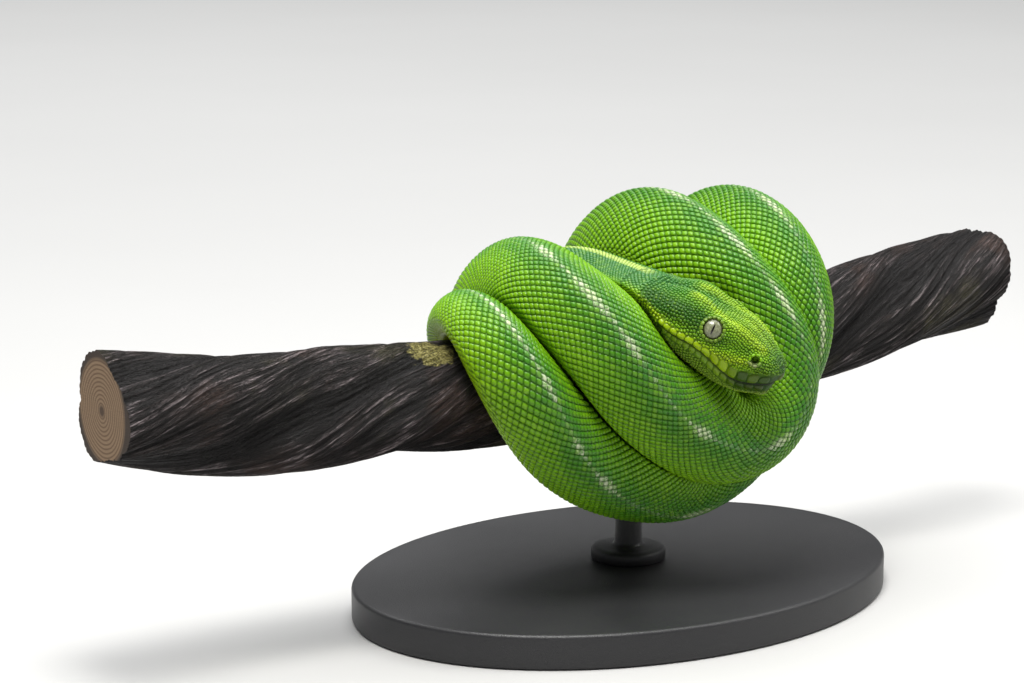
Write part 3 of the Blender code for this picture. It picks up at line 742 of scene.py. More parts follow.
def face_relief(q):
    """How far the skin of the face stands out or in."""
    back, side, up = np.moveaxis(q, -1, 0)
    over = above_mouth(q)
    mouth = ease(back, MOUTH_END + 1.5, MOUTH_END - 1.5) * np.exp(-(over / MOUTH_HALF) ** 2)
    under_lip = ease(back, 38, 33) * ease(over, 0.0, -0.8) * ease(over, -7.5, -3.5)
    crown_groove = np.exp(-(side / 1.5) ** 2) * ease(up, 3, 6) * ease(back, 23, 28) * ease(back, 43, 37)
    snout_groove = np.exp(-(side / 0.8) ** 2) * ease(up, 2, 4) * ease(back, 4, 7) * ease(back, 22, 17)
    out = -MOUTH_DEPTH * mouth - 0.40 * under_lip - 0.90 * crown_groove - 0.30 * snout_groove
    out += sum(height * rope(q, path, wide) for height, path, wide in FACE_LINES)
    out += sum(height * hill(q, at, wide) for height, at, wide in FACE_FORMS)
    nostril = from_nostril(q)
    out += rim(nostril, *NOSTRIL_LIP) - NOSTRIL_DEPTH * ease(nostril, NOSTRIL_FROM, NOSTRIL_TO)
    apart, ahead = eye_distance(q)
    socket = rim(apart, *EYE_LID) - SOCKET_DEPTH * ease(apart, SOCKET_FROM, SOCKET_TO)
    return out + ease(ahead, -0.5, 0.3) * socket


def grid_normals(grid):
    """The way outward at each point of a grid of rings."""
    length = np.gradient(grid, axis=0)
    round_ = np.roll(grid, -1, axis=1) - np.roll(grid, 1, axis=1)
    return unit(np.cross(round_, length))


def skin_places():
    """Close rings on the face, wider apart on the body."""
    head = np.arange(0, FACE_END, HEAD_STEP)
    count = int((SNAKE_LENGTH - FACE_END) / BODY_STEP) + 1
    return np.concatenate([head, np.linspace(FACE_END, SNAKE_LENGTH, count)])


def bend_folds(line, points):
    """Soft folds across the body where the inside of a bend is pinched."""
    offset = points - line["centre"][:, None]
    pinch = np.clip((offset * line["bend"][:, None]).sum(-1) - FOLD_FROM, 0, FOLD_MOST)
    wave = np.cos(line["at"] * 2 * math.pi / FOLD_GAP)[:, None]
    return FOLD_DEPTH * pinch * wave * (line["head"] == 0)[:, None]


def make_surface():
    """How far along the skin's rings lie, and its grid of points."""
    places = skin_places()
    line = at_places(snake, places)
    held = clear_of_branch(pressed(rings(line, skin_angles), line, snake))
    body = line["head"] < 1
    for _ in range(2):
        soft = held.copy()
        soft[1:-1] = (held[:-2] + 2 * held[1:-1] + held[2:]) / 4
        soft = (np.roll(soft, 1, 1) + 2 * soft + np.roll(soft, -1, 1)) / 4
        held[body] = soft[body]
    tip = line["centre"][0]
    cap = [tip + share * (held[0] - tip) + ahead * forward for share, ahead in SNOUT_CAP]
    grid = np.concatenate([cap, held])
    places = np.concatenate([np.linspace(CAP_FROM, CAP_TO, len(cap)), places])
    folds = np.pad(bend_folds(line, held), ((len(cap), 0), (0, 0)))
    on_face = ease(places, FACE_END - 1, FACE_END - 7)[:, None]
    thin = ease(places, SNAKE_LENGTH + 2, SNAKE_LENGTH - TAIL_THINS)[:, None]
    depth = COAT_DEPTH * (1 - on_face) + FACE_COAT_DEPTH * on_face
    depth = depth * (TIP_DEPTH + (1 - TIP_DEPTH) * thin)
    out = grid_normals(grid)
    grid += out * (face_relief(face_place(grid)) * on_face + folds - depth)[..., None]
    return places, grid


skin_angles = np.linspace(-math.pi, math.pi, SKIN_SIDES, endpoint=False)
surface_places, surface = make_surface()
surface_out = grid_normals(surface)


def read_grid(grid, place, angle):
    """Read a grid of the skin between its points."""
    row = np.interp(place, surface_places, np.arange(len(surface_places)))
    column = (angle + math.pi) / (2 * math.pi) * SKIN_SIDES
    i = np.clip(row.astype(int), 0, len(grid) - 2)
    j = np.floor(column).astype(int)
    u, v = row - i, column - j
    a, b = j % SKIN_SIDES, (j + 1) % SKIN_SIDES
    if grid.ndim == 3:
        u, v = u[..., None], v[..., None]
    near = grid[i, a] * (1 - v) + grid[i, b] * v
    far = grid[i + 1, a] * (1 - v) + grid[i + 1, b] * v
    return near * (1 - u) + far * u


def on_skin(place, angle, height=0.0):
    """A point on the skin, or over it by a height."""
    point = read_grid(surface, place, angle)
    out = unit(read_grid(surface_out, place, angle))
    return point + out * np.expand_dims(np.asarray(height, float) + 0 * place, -1), out


def markings_and_shade(place, angle, points):
    """The pattern's own coordinates, with the painted shade of the snout's front and the spots of the crest's
    painted sheen, the same for the skin and for every scale.
    """
    q = face_place(points)
    back, over = q[..., 0], above_mouth(q)
    face = ease(place, FACE_END, FACE_END - 8)
    streak = np.maximum(rope(q, YELLOW_STREAK, 2.1), 0.85 * hill(q, (12, 0.0, 6.5), (9.0, 4.6, 4.0)))
    dusk = np.max([strength * rope(q, path, wide) for strength, path, wide in DUSKY_PATCHES], axis=0)
    # painted shade: the front lips and the snout's front darkened nearly to black, as under the snout's
    # overhang
    front_lip = ease(back, 16, 8) * ease(over, 4.6, 2.0)
    snout_front = 0.6 * ease(back, 9, 4) * ease(over, 8.0, 6.0)
    snout_shade = face * np.maximum(front_lip, snout_front) * ease(over, -4.5, -1.5)
    rear_lip = ease(back, 8, 15) * ease(over, 2.8, 2.0) * ease(over, -0.4, 0.2)
    lip = np.maximum(rope(q, LIP_RIDGE, 1.25), 0.95 * rear_lip) * (1 - 0.85 * snout_shade)
    apart, ahead = eye_distance(q)
    fleck_and_sheen_spots = [np.exp(-((place - at) / half) ** 2) for at, half in PALE_FLECKS_AND_SHEEN]
    return {
        "flank": np.abs(angle) / math.pi,
        "length": place,
        "nape": ease(place, 30, 44) * ease(place, 125, 70),
        "patch": np.max(fleck_and_sheen_spots, axis=0),
        "streak": face * streak,
        "dusk": face * np.minimum(1.3 * dusk, 1),
        "snout_shade": snout_shade,
        "lip": face * lip,
        "jaw": face * ease(over, 0.1, -0.7),
        "lid": face * ease(apart, EYE_BARE, EYE_BARE - 0.3) * (ahead > 0),
        "nose": face * ease(from_nostril(q), 2.3, 1.7) * ease(q[..., 2], 2.3, 1.5),
    }


def mark(piece, place, angle, points):
    """Store the markings and the painted shade on a piece's points."""
    for name, values in markings_and_shade(place, angle, points).items():
        keep_numbers(piece, name, values)


def snake_colour(m, root, spot):
    """Green, teal along the crest, yellower down the flank, pale on the belly and lips, with painted shade on
    the snout's front and a painted sheen along the crest.
    """
    flank, length, nape, patch = (m.number(name) for name in ("flank", "length", "nape", "patch"))
    broad, close, each = m.noise(root, 42.0, 2.0), m.noise(root, 170.0, 2.0), m.noise(spot, 900.0, 2.0)
    green = m.ramp(m.near_middle(broad, 0.12, flank),
                   (0.0, (0.036, 0.165, 0.018)), (0.10, (0.054, 0.205, 0.007)),
                   (0.22, (0.125, 0.320, 0.003)), (0.42, (0.175, 0.385, 0.002)),
                   (0.62, (0.255, 0.455, 0.002)), (0.75, (0.380, 0.530, 0.004)),
                   (0.90, (0.450, 0.570, 0.030)))
    green = m.mix(m.step(close, 0.42, 0.70, 0.0, 0.18), green, (0.210, 0.410, 0.004))
    green = m.mix(m.times(nape, m.step(flank, 0.36, 0.22, 0.0, 0.85)), green, (0.026, 0.130, 0.034))
    green = m.mix(m.times(nape, m.step(flank, 0.34, 0.46, 0.0, 0.8)), green, (0.260, 0.450, 0.002))
    green = m.mix(m.times(m.number("dusk"), 0.90), green, (0.012, 0.066, 0.002))
    streak = m.times(m.number("streak"), m.step(close, 0.25, 0.6, 0.45, 0.95))
    green = m.mix(streak, green, (0.350, 0.520, 0.016))
    for marking, strength, colour in FACE_TONES:
        green = m.mix(m.times(m.number(marking), strength), green, colour)
    ragged = m.near_middle(each, 0.035, flank)
    collar = m.times(m.times(nape, m.step(length, 42.0, 47.0)), m.step(ragged, 0.060, 0.035))
    green = m.mix(m.times(collar, 0.8), green, (0.430, 0.540, 0.130))
    torn = m.near_middle(m.noise(spot, 2100.0, 3.0, 0.75), 0.085, ragged)
    spread = m.math("MULTIPLY_ADD", patch, -0.016, torn)
    # painted sheen: the crest paler about the white flecks, as where its gloss catches the light
    sheen = m.times(m.step(spread, 0.050, 0.000), patch)
    green = m.mix(m.times(sheen, 0.35), green, (0.300, 0.460, 0.160))
    crest = m.times(m.step(spread, 0.015, 0.003), m.step(length, 60.0, 80.0))
    often = m.math("MULTIPLY_ADD", patch, 0.24, each)
    return m.mix(m.times(crest, m.step(often, 0.52, 0.74, 0.08, 0.80)), green, (0.570, 0.610, 0.430))


def skin_material():
    """Matt dark green skin, creased and pored, painted nearly black as shade in the clefts."""
    m = Nodes("snake_skin")
    root = m.place()
    green = snake_colour(m, root, root)
    colour = m.mix(0.55, green, (0.008, 0.055, 0.002))
    # painted shade: nearly black down the mouth's slit, in the nostrils and round the eyes' sockets
    colour = m.mix(m.number("cleft_shade"), colour, (0.008, 0.008, 0.005))
    pores = m.noise(root, 2400.0, 3.0)
    creases = m.node("ShaderNodeTexVoronoi", {"Vector": root, "Scale": 1500.0},
                     feature="DISTANCE_TO_EDGE").outputs["Distance"]
    bumps = m.bump(m.step(creases, 0.0, 0.25), 0.00012, 0.7)
    bumps = m.bump(pores, 0.00008, 0.5, bumps)
    return m.finish(Base_Color=colour, Roughness=0.42, Normal=bumps, Specular_IOR_Level=0.2)


def make_skin():
    """The skin as one closed mesh, with the painted shade of mouth, nostrils and sockets marked."""
    ends = [surface[0].mean(0) + SNOUT_TIP * forward, surface[-1].mean(0) + TAIL_TIP * snake["heading"][-1]]
    points = np.concatenate([surface.reshape(-1, 3), ends])
    piece = new_piece("skin", points, turned_over(closed_tube(len(surface), SKIN_SIDES)), skin_material())
    place = np.append(np.repeat(surface_places, SKIN_SIDES), (0, SNAKE_LENGTH))
    angle = np.append(np.tile(skin_angles, len(surface)), (0, 0))
    mark(piece, place, angle, points)
    q = face_place(points)
    slit = np.exp(-(above_mouth(q) / 0.35) ** 2) * ease(q[:, 0], MOUTH_END + 1, MOUTH_END - 1)
    apart, ahead = eye_distance(q)
    socket = ease(apart, SOCKET_FROM, SOCKET_FROM - 0.2) * (ahead > 0)
    # where the painted shade of the mouth, nostrils and sockets lies
    dark = np.maximum.reduce([slit, ease(from_nostril(q), 1.3, 1.0), socket])
    keep_numbers(piece, "cleft_shade", dark * ease(place, FACE_END - 1, FACE_END - 7))
    return piece


FLESH = ["head"] + sorted(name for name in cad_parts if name.startswith(("neck", "trunk", "tail")))
skin = make_skin()
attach(skin, "root")
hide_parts(*FLESH)

# ------------------------------------------------- the scales of the body
# Small smooth domed scales in slanting rows, each a rounded diamond that laps
# the next one towards the tail. They are widest along the flank's middle,
# closest on the inside of a bend, and left out where loops press together.
SCALE_ROWS = (              # share of the snake's length, and the rows from belly edge to belly edge
    (0.05, 66), (0.135, 72), (0.80, 72), (0.85, 56), (0.91, 40), (0.955, 26), (1.0, 12),
)
BELLY_HALF = 0.74           # the belly plates' half width, in radians round the body
SCALE_LEVELS = ((1.0, -0.35), (0.80, 0.55), (0.42, 0.95))       # share of the outline, height
SCALE_SIDES, SCALE_SQUARE = 8, 1.35
SCALE_WIDE, SCALE_LONG = 0.95, 1.04     # shares of the room between the neighbours
SCALE_SQUEEZE = (0.45, 1.22)            # how far a bend shortens or draws out a scale
SCALE_THICK, SCALE_LEAST = 0.31, 0.08   # share of a scale's half size, and what is added
SCALES_UNDER, TAIL_BARE = 2.0, 2.0      # how far they reach under the face's; what the tip is left
EDGE_ROOM = 0.3             # how far past the belly's edge a row may lie, as a share of the gap
ROOT_OUT = 0.10             # how far a scale's root stands out, as a share of its height
TIP_LIFT = 6.5              # degrees
UNEVENNESS = 0.07
HIDDEN_REACH = 2.0          # nothing this near may close off every side of a scale
HIDDEN_START, HIDDEN_SLANT = 0.35, 1.2
HEADING_STEP = 0.4
PATCH = 0.003               # a scale's size on the bake's map
COATS = (                   # name, and where it starts, as a share of the snake's length
    ("scales_neck", 0.0), ("scales_inner_turn", 0.135), ("scales_inner_loop", 0.225),
    ("scales_left_loop", 0.375), ("scales_back_turn", 0.495), ("scales_right_loop", 0.605),
    ("scales_lowest_turn", 0.70), ("scales_tail", 0.815),
)


def squarish(turn, power):
    """How far an outline between a diamond and a square reaches at each turn."""
    return (np.abs(np.cos(turn)) ** power + np.abs(np.sin(turn)) ** power) ** (-1 / power)


def scale_mesh(name, square, levels):
    """One scale, 2 wide and 2 long about its root, with its tip at +Y."""
    sides = SCALE_SIDES
    turn = np.arange(sides) * 2 * math.pi / sides
    outline = np.stack([np.sin(turn), np.cos(turn)], -1) * squarish(turn, square)[:, None]
    points = [(*(share * spot), height) for share, height in levels for spot in outline] + [(0.0, 0.0, 1.0)]
    top_ring = (len(levels) - 1) * sides
    faces = tube_faces(len(levels), sides) + turned_over(fan_faces(top_ring, sides, top_ring + sides))
    mesh = bpy.data.meshes.new(name)
    mesh.from_pydata(points, [], faces)
    mesh.shade_smooth()
    scale = bpy.data.objects.new(name, mesh)
    keep_numbers(scale, "rim", [share for share, _ in levels for _ in range(sides)] + [0.0])
    keep_numbers(scale, "spot", np.array(points) * (0.5, 0.5, 0.0), "FLOAT_VECTOR")
    return scale


def coat_tree():
    """Geometry nodes: a scale on every root, lying along the body, with its map patch."""
    tree = bpy.data.node_groups.new("coat_of_scales", "GeometryNodeTree")
    sockets = (("Geometry", "Geometry"), ("Scale", "Object"), ("Tip lift", "Float"), ("Unevenness", "Float"),
               ("Patch", "Float"), ("Seed", "Int"), ("Material", "Material"))
    for name, kind in sockets:
        tree.interface.new_socket(name=name, in_out="INPUT", socket_type="NodeSocket" + kind)
    tree.interface.new_socket(name="Geometry", in_out="OUTPUT", socket_type="NodeSocketGeometry")

    def node(kind, inputs, output=0, **settings):
        made = tree.nodes.new(kind)
        for key, value in settings.items():
            setattr(made, key, value)
        for key, value in inputs.items():
            if isinstance(value, bpy.types.NodeSocket):
                tree.links.new(value, made.inputs[key])
            else:
                made.inputs[key].default_value = value
        return made.outputs[output]

    def kept(name):
        return node("GeometryNodeInputNamedAttribute", {"Name": name}, "Attribute", data_type="FLOAT_VECTOR")

    def vectors(operation, first, second):
        key = "Scale" if operation == "SCALE" else 1
        return node("ShaderNodeVectorMath", {0: first, key: second}, operation=operation)

    given = tree.nodes.new("NodeGroupInput").outputs
    scale = node("GeometryNodeObjectInfo", {"Object": given["Scale"]}, "Geometry")
    axes = {"Primary Axis": kept("out"), "Secondary Axis": kept("tailward")}
    lie = node("FunctionNodeAxesToRotation", axes, primary_axis="Z", secondary_axis="Y")
    least = vectors("SCALE", (-1.0, -1.0, -1.0), given["Unevenness"])
    most = vectors("SCALE", (1.0, 1.0, 1.0), given["Unevenness"])
    limits = {0: least, 1: most, "Seed": given["Seed"]}
    wobble = node("FunctionNodeRandomValue", limits, data_type="FLOAT_VECTOR")
    tilt = vectors("ADD", node("ShaderNodeCombineXYZ", {"X": given["Tip lift"]}), wobble)
    lie = node("FunctionNodeRotateRotation", {"Rotation": lie, "Rotate By": tilt}, rotation_space="LOCAL")
    size = vectors("MULTIPLY", kept("size"), vectors("ADD", wobble, (1.0, 1.0, 1.0)))
    roots = node("GeometryNodeMeshToPoints", {"Mesh": given["Geometry"]})
    coat = node("GeometryNodeInstanceOnPoints",
                {"Points": roots, "Instance": scale, "Rotation": lie, "Scale": size})
    coat = node("GeometryNodeRealizeInstances", {"Geometry": coat})
    patch = vectors("ADD", kept("unwrap"), vectors("SCALE", kept("spot"), given["Patch"]))
    coat = node("GeometryNodeStoreNamedAttribute", {"Geometry": coat, "Name": "OFBake", "Value": patch},
                data_type="FLOAT2", domain="CORNER")
    coat = node("GeometryNodeSetMaterial", {"Geometry": coat, "Material": given["Material"]})
    tree.links.new(coat, tree.nodes.new("NodeGroupOutput").inputs[0])
    return tree


def set_inputs(modifier, values):
    """Set a modifier's inputs, which go by their sockets' identifiers, from plain names."""
    for item in modifier.node_group.interface.items_tree:
        if item.in_out == "INPUT" and item.name in values:
            modifier[item.identifier] = values[item.name]


def scale_material():
    """The skin's green with a soft gloss, each scale a little apart in tone and painted darker at its rim as
    shade where it meets its neighbours.
    """
    m = Nodes("snake_scales")
    root, rim, shade = m.vector("root"), m.number("rim"), m.number("shade")
    green = snake_colour(m, root, m.place())
    lit = m.mix(m.step(shade, 0.45, 1.0, 0.0, 0.20), green, (0.270, 0.480, 0.020))
    lit = m.mix(m.step(shade, 0.55, 0.0, 0.0, 0.16), lit, (0.030, 0.140, 0.006))
    # painted shade: each scale and plate darker towards its rim, where it meets its neighbours
    colour = m.mix(m.step(rim, 0.55, 1.0, 0.0, 0.70), lit, (0.015, 0.080, 0.003))
    grain = m.noise(m.place(), 5200.0, 2.0)
    rough = m.step(grain, 0.3, 0.8, 0.26, 0.36)
    bumps = m.bump(grain, 0.00003, 0.5)
    return m.finish(Base_Color=colour, Roughness=rough, Normal=bumps, Specular_IOR_Level=0.27)


def neighbours_tree():
    """The skin and the branch, to tell where they close on each other."""
    sides, cuts = 48, 60
    turn = np.linspace(0, 2 * math.pi, sides, endpoint=False)[None, :]
    x = np.linspace(BRANCH_FROM, BRANCH_TO, cuts)[:, None] + 0 * turn
    y, z = BRANCH_RADIUS * np.sin(turn) + 0 * x, BRANCH_RADIUS * np.cos(turn) + branch_rise(x)
    points = np.concatenate([surface.reshape(-1, 3), np.stack([x, y, z], -1).reshape(-1, 3)])
    start = surface[..., 0].size
    faces = tube_faces(len(surface), SKIN_SIDES)
    faces += [[start + v for v in face] for face in tube_faces(cuts, sides)]
    return BVHTree.FromPolygons(points.tolist(), faces)


def across_skin(place, angle, lengthwise=0.0, round_body=0.0):
    """The way between two points of the skin, one on either side of each place."""
    far = on_skin(place + lengthwise, angle + round_body)[0]
    return far - on_skin(place - lengthwise, angle - round_body)[0]


def in_sight(place, angle):
    """False where every way out from the skin soon meets a neighbour."""
    root, out = on_skin(place, angle)
    ahead = unit(across_skin(place, angle, lengthwise=HEADING_STEP))
    aside = np.cross(ahead, out)
    seen = np.zeros(len(place), bool)
    for slant in [0 * out] + [sign * HIDDEN_SLANT * way for way in (ahead, aside) for sign in (1, -1)]:
        for i in np.flatnonzero(~seen):
            ray = Vector((out + slant)[i]).normalized()
            hit = neighbours.ray_cast(Vector(root[i] + HIDDEN_START * out[i]), ray, HIDDEN_REACH)
            seen[i] = hit[0] is None
    return seen


def make_coat(name, place, angle, half_size, scale, lift, seed, reach):
    """Scales at places and angles on a stretch of the skin, made real as one mesh."""
    seen = in_sight(place, angle)
    place, angle, half_size = place[seen], angle[seen], half_size[seen]
    root, out = on_skin(place, angle)
    tailward = unit(across_skin(place, angle, lengthwise=HEADING_STEP))
    share = np.stack([(place - reach[0]) / (reach[1] - reach[0]), (angle + math.pi) / (2 * math.pi)], -1)
    unwrap = np.pad(0.01 + 0.98 * share, ((0, 0), (0, 1)))
    roots = bpy.data.meshes.new(name + "_roots")
    roots.from_pydata(in_frame(root + ROOT_OUT * out * half_size[:, 2:]).tolist(), [], [])
    coat = bpy.data.objects.new(name, roots)
    bpy.context.scene.collection.objects.link(coat)
    for key, values in (("out", out), ("tailward", tailward), ("size", half_size * MM),
                        ("root", in_frame(root)), ("unwrap", unwrap)):
        keep_numbers(coat, key, values, "FLOAT_VECTOR")
    keep_numbers(coat, "shade", np.random.default_rng(seed).random(len(place)))
    mark(coat, place, angle, root)
    grow = coat.modifiers.new("coat", "NODES")
    grow.node_group = scale_nodes
    set_inputs(grow, {"Scale": scale, "Tip lift": math.radians(lift), "Unevenness": UNEVENNESS,
                      "Patch": PATCH, "Seed": seed, "Material": scales_green})
    graph = bpy.context.evaluated_depsgraph_get()
    finished = bpy.data.meshes.new_from_object(coat.evaluated_get(graph))
    coat.modifiers.clear()
    coat.data = finished
    bpy.data.meshes.remove(roots)
    for spare in ("out", "tailward", "size", "unwrap", "spot"):
        if spare in finished.attributes:
            finished.attributes.remove(finished.attributes[spare])
    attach(coat, "root")


def row_gap(at):
    """The angle round the body between neighbouring rows."""
    return 2 * (math.pi - BELLY_HALF) / np.interp(at / SNAKE_LENGTH, *np.transpose(SCALE_ROWS))


def slanting_rows(first, last):
    """Places, angles and half sizes of scales, each ring shifted by half a scale.

    The rows keep level with the crest, so that all that are lost end at the belly.
    """
    girth = snake["size"].mean(1)
    at, ring = first, 0
    place, angle = [], []
    while at < last:
        most = int((math.pi - BELLY_HALF) / row_gap(at) + EDGE_ROOM)
        rows = np.arange(-most, most + 1)
        rows = rows[(rows + ring) % 2 == 0]
        angle.append(rows * row_gap(at))
        place.append(np.full(len(rows), at))
        at, ring = at + row_gap(at) * np.interp(at, snake["at"], girth), ring + 1
    place, angle = np.concatenate(place), np.concatenate(angle)
    half_gap = row_gap(place) / 2
    room = np.linalg.norm(across_skin(place, angle, round_body=half_gap), axis=-1)
    drawn = np.linalg.norm(across_skin(place, angle, lengthwise=0.5), axis=-1)
    width = room * SCALE_WIDE
    length = 2 * half_gap * np.interp(place, snake["at"], girth) * np.clip(drawn, *SCALE_SQUEEZE) * SCALE_LONG
    return place, angle, np.stack([width, length, SCALE_THICK * np.minimum(room, length) + SCALE_LEAST], -1)


neighbours = neighbours_tree()
scale_nodes = coat_tree()
scales_green = scale_material()
body_scale = scale_mesh("body_scale", SCALE_SQUARE, SCALE_LEVELS)
place, angle, size = slanting_rows(HEAD_LENGTH - SCALES_UNDER, SNAKE_LENGTH - TAIL_BARE)
coat_ends = [start for _, start in COATS[1:]] + [1.0]
for number, ((coat, start), end) in enumerate(zip(COATS, coat_ends)):
    first, last = start * SNAKE_LENGTH, end * SNAKE_LENGTH
    here = (place >= first) & (place < last)
    make_coat(coat, place[here], angle[here], size[here], body_scale, TIP_LIFT, number + 1, (first, last))

# ------------------------------------------------------------ the belly plates
# One broad plate under each step of the body, lapping the next. On the tail
# they narrow to its tip. Only those clear of the branch and of other loops show.
BELLY_LEVELS = (            # share of the way to the next plate, height, and how near the rim
    (0.0, -0.10, 1.0), (0.14, 0.30, 0.7), (0.55, 0.62, 0.1), (0.98, 0.80, 0.5), (1.08, -0.05, 1.0),
)
BELLY_CUTS = 14             # points from edge to edge
BELLY_RINGS, BELLY_LEAST = 2.0, 0.9     # rings of scales to one plate, and its least length
BELLY_UNDER = 4.0           # how far the first reaches under the head
BELLY_REACH, BELLY_FALL, BELLY_BOW = 1.05, 0.45, 0.25       # past the edge, lower there, and bent forward
BELLY_CHECKS = np.array([-2.45, -2.80, -math.pi, 2.80, 2.45])       # where a plate may be seen


def keep_patches(piece, patches):
    """Give each point its place on the bake's own map."""
    corners = np.empty(len(piece.data.loops), np.int32)
    piece.data.loops.foreach_get("vertex_index", corners)
    own_map = piece.data.uv_layers.new(name="OFBake")
    own_map.data.foreach_set("uv", np.asarray(patches, np.float32)[corners].ravel())


def belly_places():
    """Where each plate starts, one for every two rings of scales."""
    girth = snake["size"].mean(1)
    at, places = HEAD_LENGTH - BELLY_UNDER, []
    while at < SNAKE_LENGTH - TAIL_BARE:
        places.append(at)
        at += max(BELLY_RINGS * row_gap(at) * np.interp(at, snake["at"], girth), BELLY_LEAST)
    return np.array(places + [at])


def make_belly():
    """The plates in sight as one mesh, each a few rows of points from one edge to the other."""
    starts = belly_places()
    points, place, angle, patch = [], [], [], []
    across = np.linspace(-1, 1, BELLY_CUTS)
    around_belly = (BELLY_REACH * BELLY_HALF * across) % (2 * math.pi) - math.pi
    crown = 1 - BELLY_FALL * across ** 4
    for start, end in zip(starts[:-1], starts[1:]):
        if not in_sight(np.full(len(BELLY_CHECKS), (start + end) / 2), BELLY_CHECKS).any():
            continue
        for share, height, _ in BELLY_LEVELS:
            row = start + (end - start) * (share - BELLY_BOW * across ** 2)
            rise = height * crown if height > 0 else height
            points.append(on_skin(np.minimum(row, SNAKE_LENGTH), around_belly, rise)[0])
            place.append(row)
            angle.append(around_belly)
            patch.append(np.stack([start / SNAKE_LENGTH + PATCH * (share - 0.5) + 0 * across,
                                   0.5 + PATCH * across / 2], -1))
    plates = len(points) // len(BELLY_LEVELS)
    first = np.arange(len(points) * BELLY_CUTS).reshape(plates, len(BELLY_LEVELS), BELLY_CUTS)[:, :-1, :-1]
    first = first.reshape(-1, 1)
    faces = (first + (0, 1, BELLY_CUTS + 1, BELLY_CUTS)).tolist()
    points, place, angle = np.concatenate(points), np.concatenate(place), np.concatenate(angle)
    piece = new_piece("belly_plates", points, faces, scales_green)
    mark(piece, place, angle, points)
    keep_numbers(piece, "root", in_frame(points), "FLOAT_VECTOR")
    keep_numbers(piece, "shade", np.full(len(place), 0.5))
    keep_numbers(piece, "rim", np.tile(np.repeat([rim for *_, rim in BELLY_LEVELS], BELLY_CUTS), plates))
    keep_patches(piece, np.concatenate(patch))
    return piece


belly = make_belly()
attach(belly, "root")

# ------------------------------------------------------------ the scales of the face
# Fine granules cover the head, smallest on the snout, and merge into the neck's
# rows. They leave the lips, nostrils and eye rims to the plates of the next
# section.
GRANULE, GRANULE_RINGS = 0.98, 0.86     # from one to the next on the crown, and between rings as a share
SNOUT_GRANULE, FINE_TO, FULL_FROM = 0.80, 14, 28        # their share on the snout, and how far back it grows
GRANULE_LEVELS, GRANULE_SQUARE = ((1.0, -0.4), (0.78, 0.6), (0.4, 0.96)), 1.75
GRANULE_SIZE, GRANULE_LEAST = (0.50, 0.56, 0.32), 0.06      # shares of the gap, and what is added up
GRANULE_LIFT, GRANULE_SEED, COAT_SEED = 6.0, 20, 30
STRAY, TURN_STRAY = 0.15, 0.014         # millimetres, radians
SWAY, SWAY_ROUND, SWAY_ALONG = 0.25, 7, 3               # a gentle wave in the rings
FACE_FROM, FACE_TO = -0.9, HEAD_LENGTH - 1.0
LIP_CLEAR = (0.25, 0.30)    # room kept below and above the lips' plates
UPPER_LIP = (               # where each plate starts, back from the snout, and its height
    (1.4, 3.0), (4.0, 3.6), (6.9, 4.0), (9.9, 4.1), (12.8, 3.8), (15.6, 3.2), (18.4, 2.6), (21.1, 2.2),
    (23.7, 2.1), (26.2, 2.1), (28.6, 2.0), (30.9, 1.9), (33.1, 1.7), (35.0, 1.5),
)
LOWER_LIP = (
    (2.2, 2.2), (4.6, 2.4), (7.0, 2.5), (9.5, 2.5), (11.9, 2.5), (14.2, 2.4), (16.4, 2.3), (18.5, 2.2),
    (20.5, 2.0), (22.5, 1.9), (24.4, 1.8), (26.3, 1.6), (28.1, 1.5), (29.9, 1.4), (31.6, 1.3), (33.2, 1.2),
)


def lip_height(back, lip):
    """How high the plates of a lip reach from the mouth."""
    return np.interp(back, *np.array(lip).T)


def face_granules():
    """Rings of staggered granules, each ring with as many as its girth takes."""
    at, row, place, angle, size = FACE_FROM, 0, [], [], []
    while at < FACE_TO:
        pitch = GRANULE * (SNOUT_GRANULE + (1 - SNOUT_GRANULE) * ease(at, FINE_TO, FULL_FROM))
        fan = np.linspace(-math.pi, math.pi, 241)
        run = along(on_skin(at + 0 * fan, fan)[0])
        count = max(int(run[-1] / pitch), 6)
        spots = (np.arange(count) + 0.5 * (row % 2) + 0.25) / count * run[-1]
        place.append(np.full(count, at))
        angle.append(np.interp(spots, run, fan))
        size.append(np.full(count, pitch))
        at, row = at + GRANULE_RINGS * pitch, row + 1
    return (np.concatenate(part) for part in (place, angle, size))


def make_face_coat():
    """Granules all over the head, astray by a little, with the plates' places left bare."""
    place, angle, size = face_granules()
    rng = np.random.default_rng(GRANULE_SEED)
    sway = SWAY * np.sin(SWAY_ROUND * angle + place / SWAY_ALONG)
    place = place + rng.uniform(-STRAY, STRAY, len(place)) + sway
    angle = angle + rng.uniform(-TURN_STRAY, TURN_STRAY, len(place))
    q = face_place(on_skin(place, angle)[0])
    back, over = q[:, 0], above_mouth(q)
    apart, ahead = eye_distance(q)
    bare = over > -lip_height(back, LOWER_LIP) - LIP_CLEAR[0]
    bare &= over < lip_height(back, UPPER_LIP) + LIP_CLEAR[1]
    bare &= back < UPPER_LIP[-1][0]
    bare |= (apart < EYE_BARE) & (ahead > 0)
    bare |= from_nostril(q) < NOSTRIL_BARE
    place, angle, size = place[~bare], angle[~bare], size[~bare]
    half = size[:, None] * GRANULE_SIZE + (0, 0, GRANULE_LEAST)
    make_coat("scales_face", place, angle, half, granule, GRANULE_LIFT, COAT_SEED, (-2.0, HEAD_LENGTH))


granule = scale_mesh("granule", GRANULE_SQUARE, GRANULE_LEVELS)
make_face_coat()

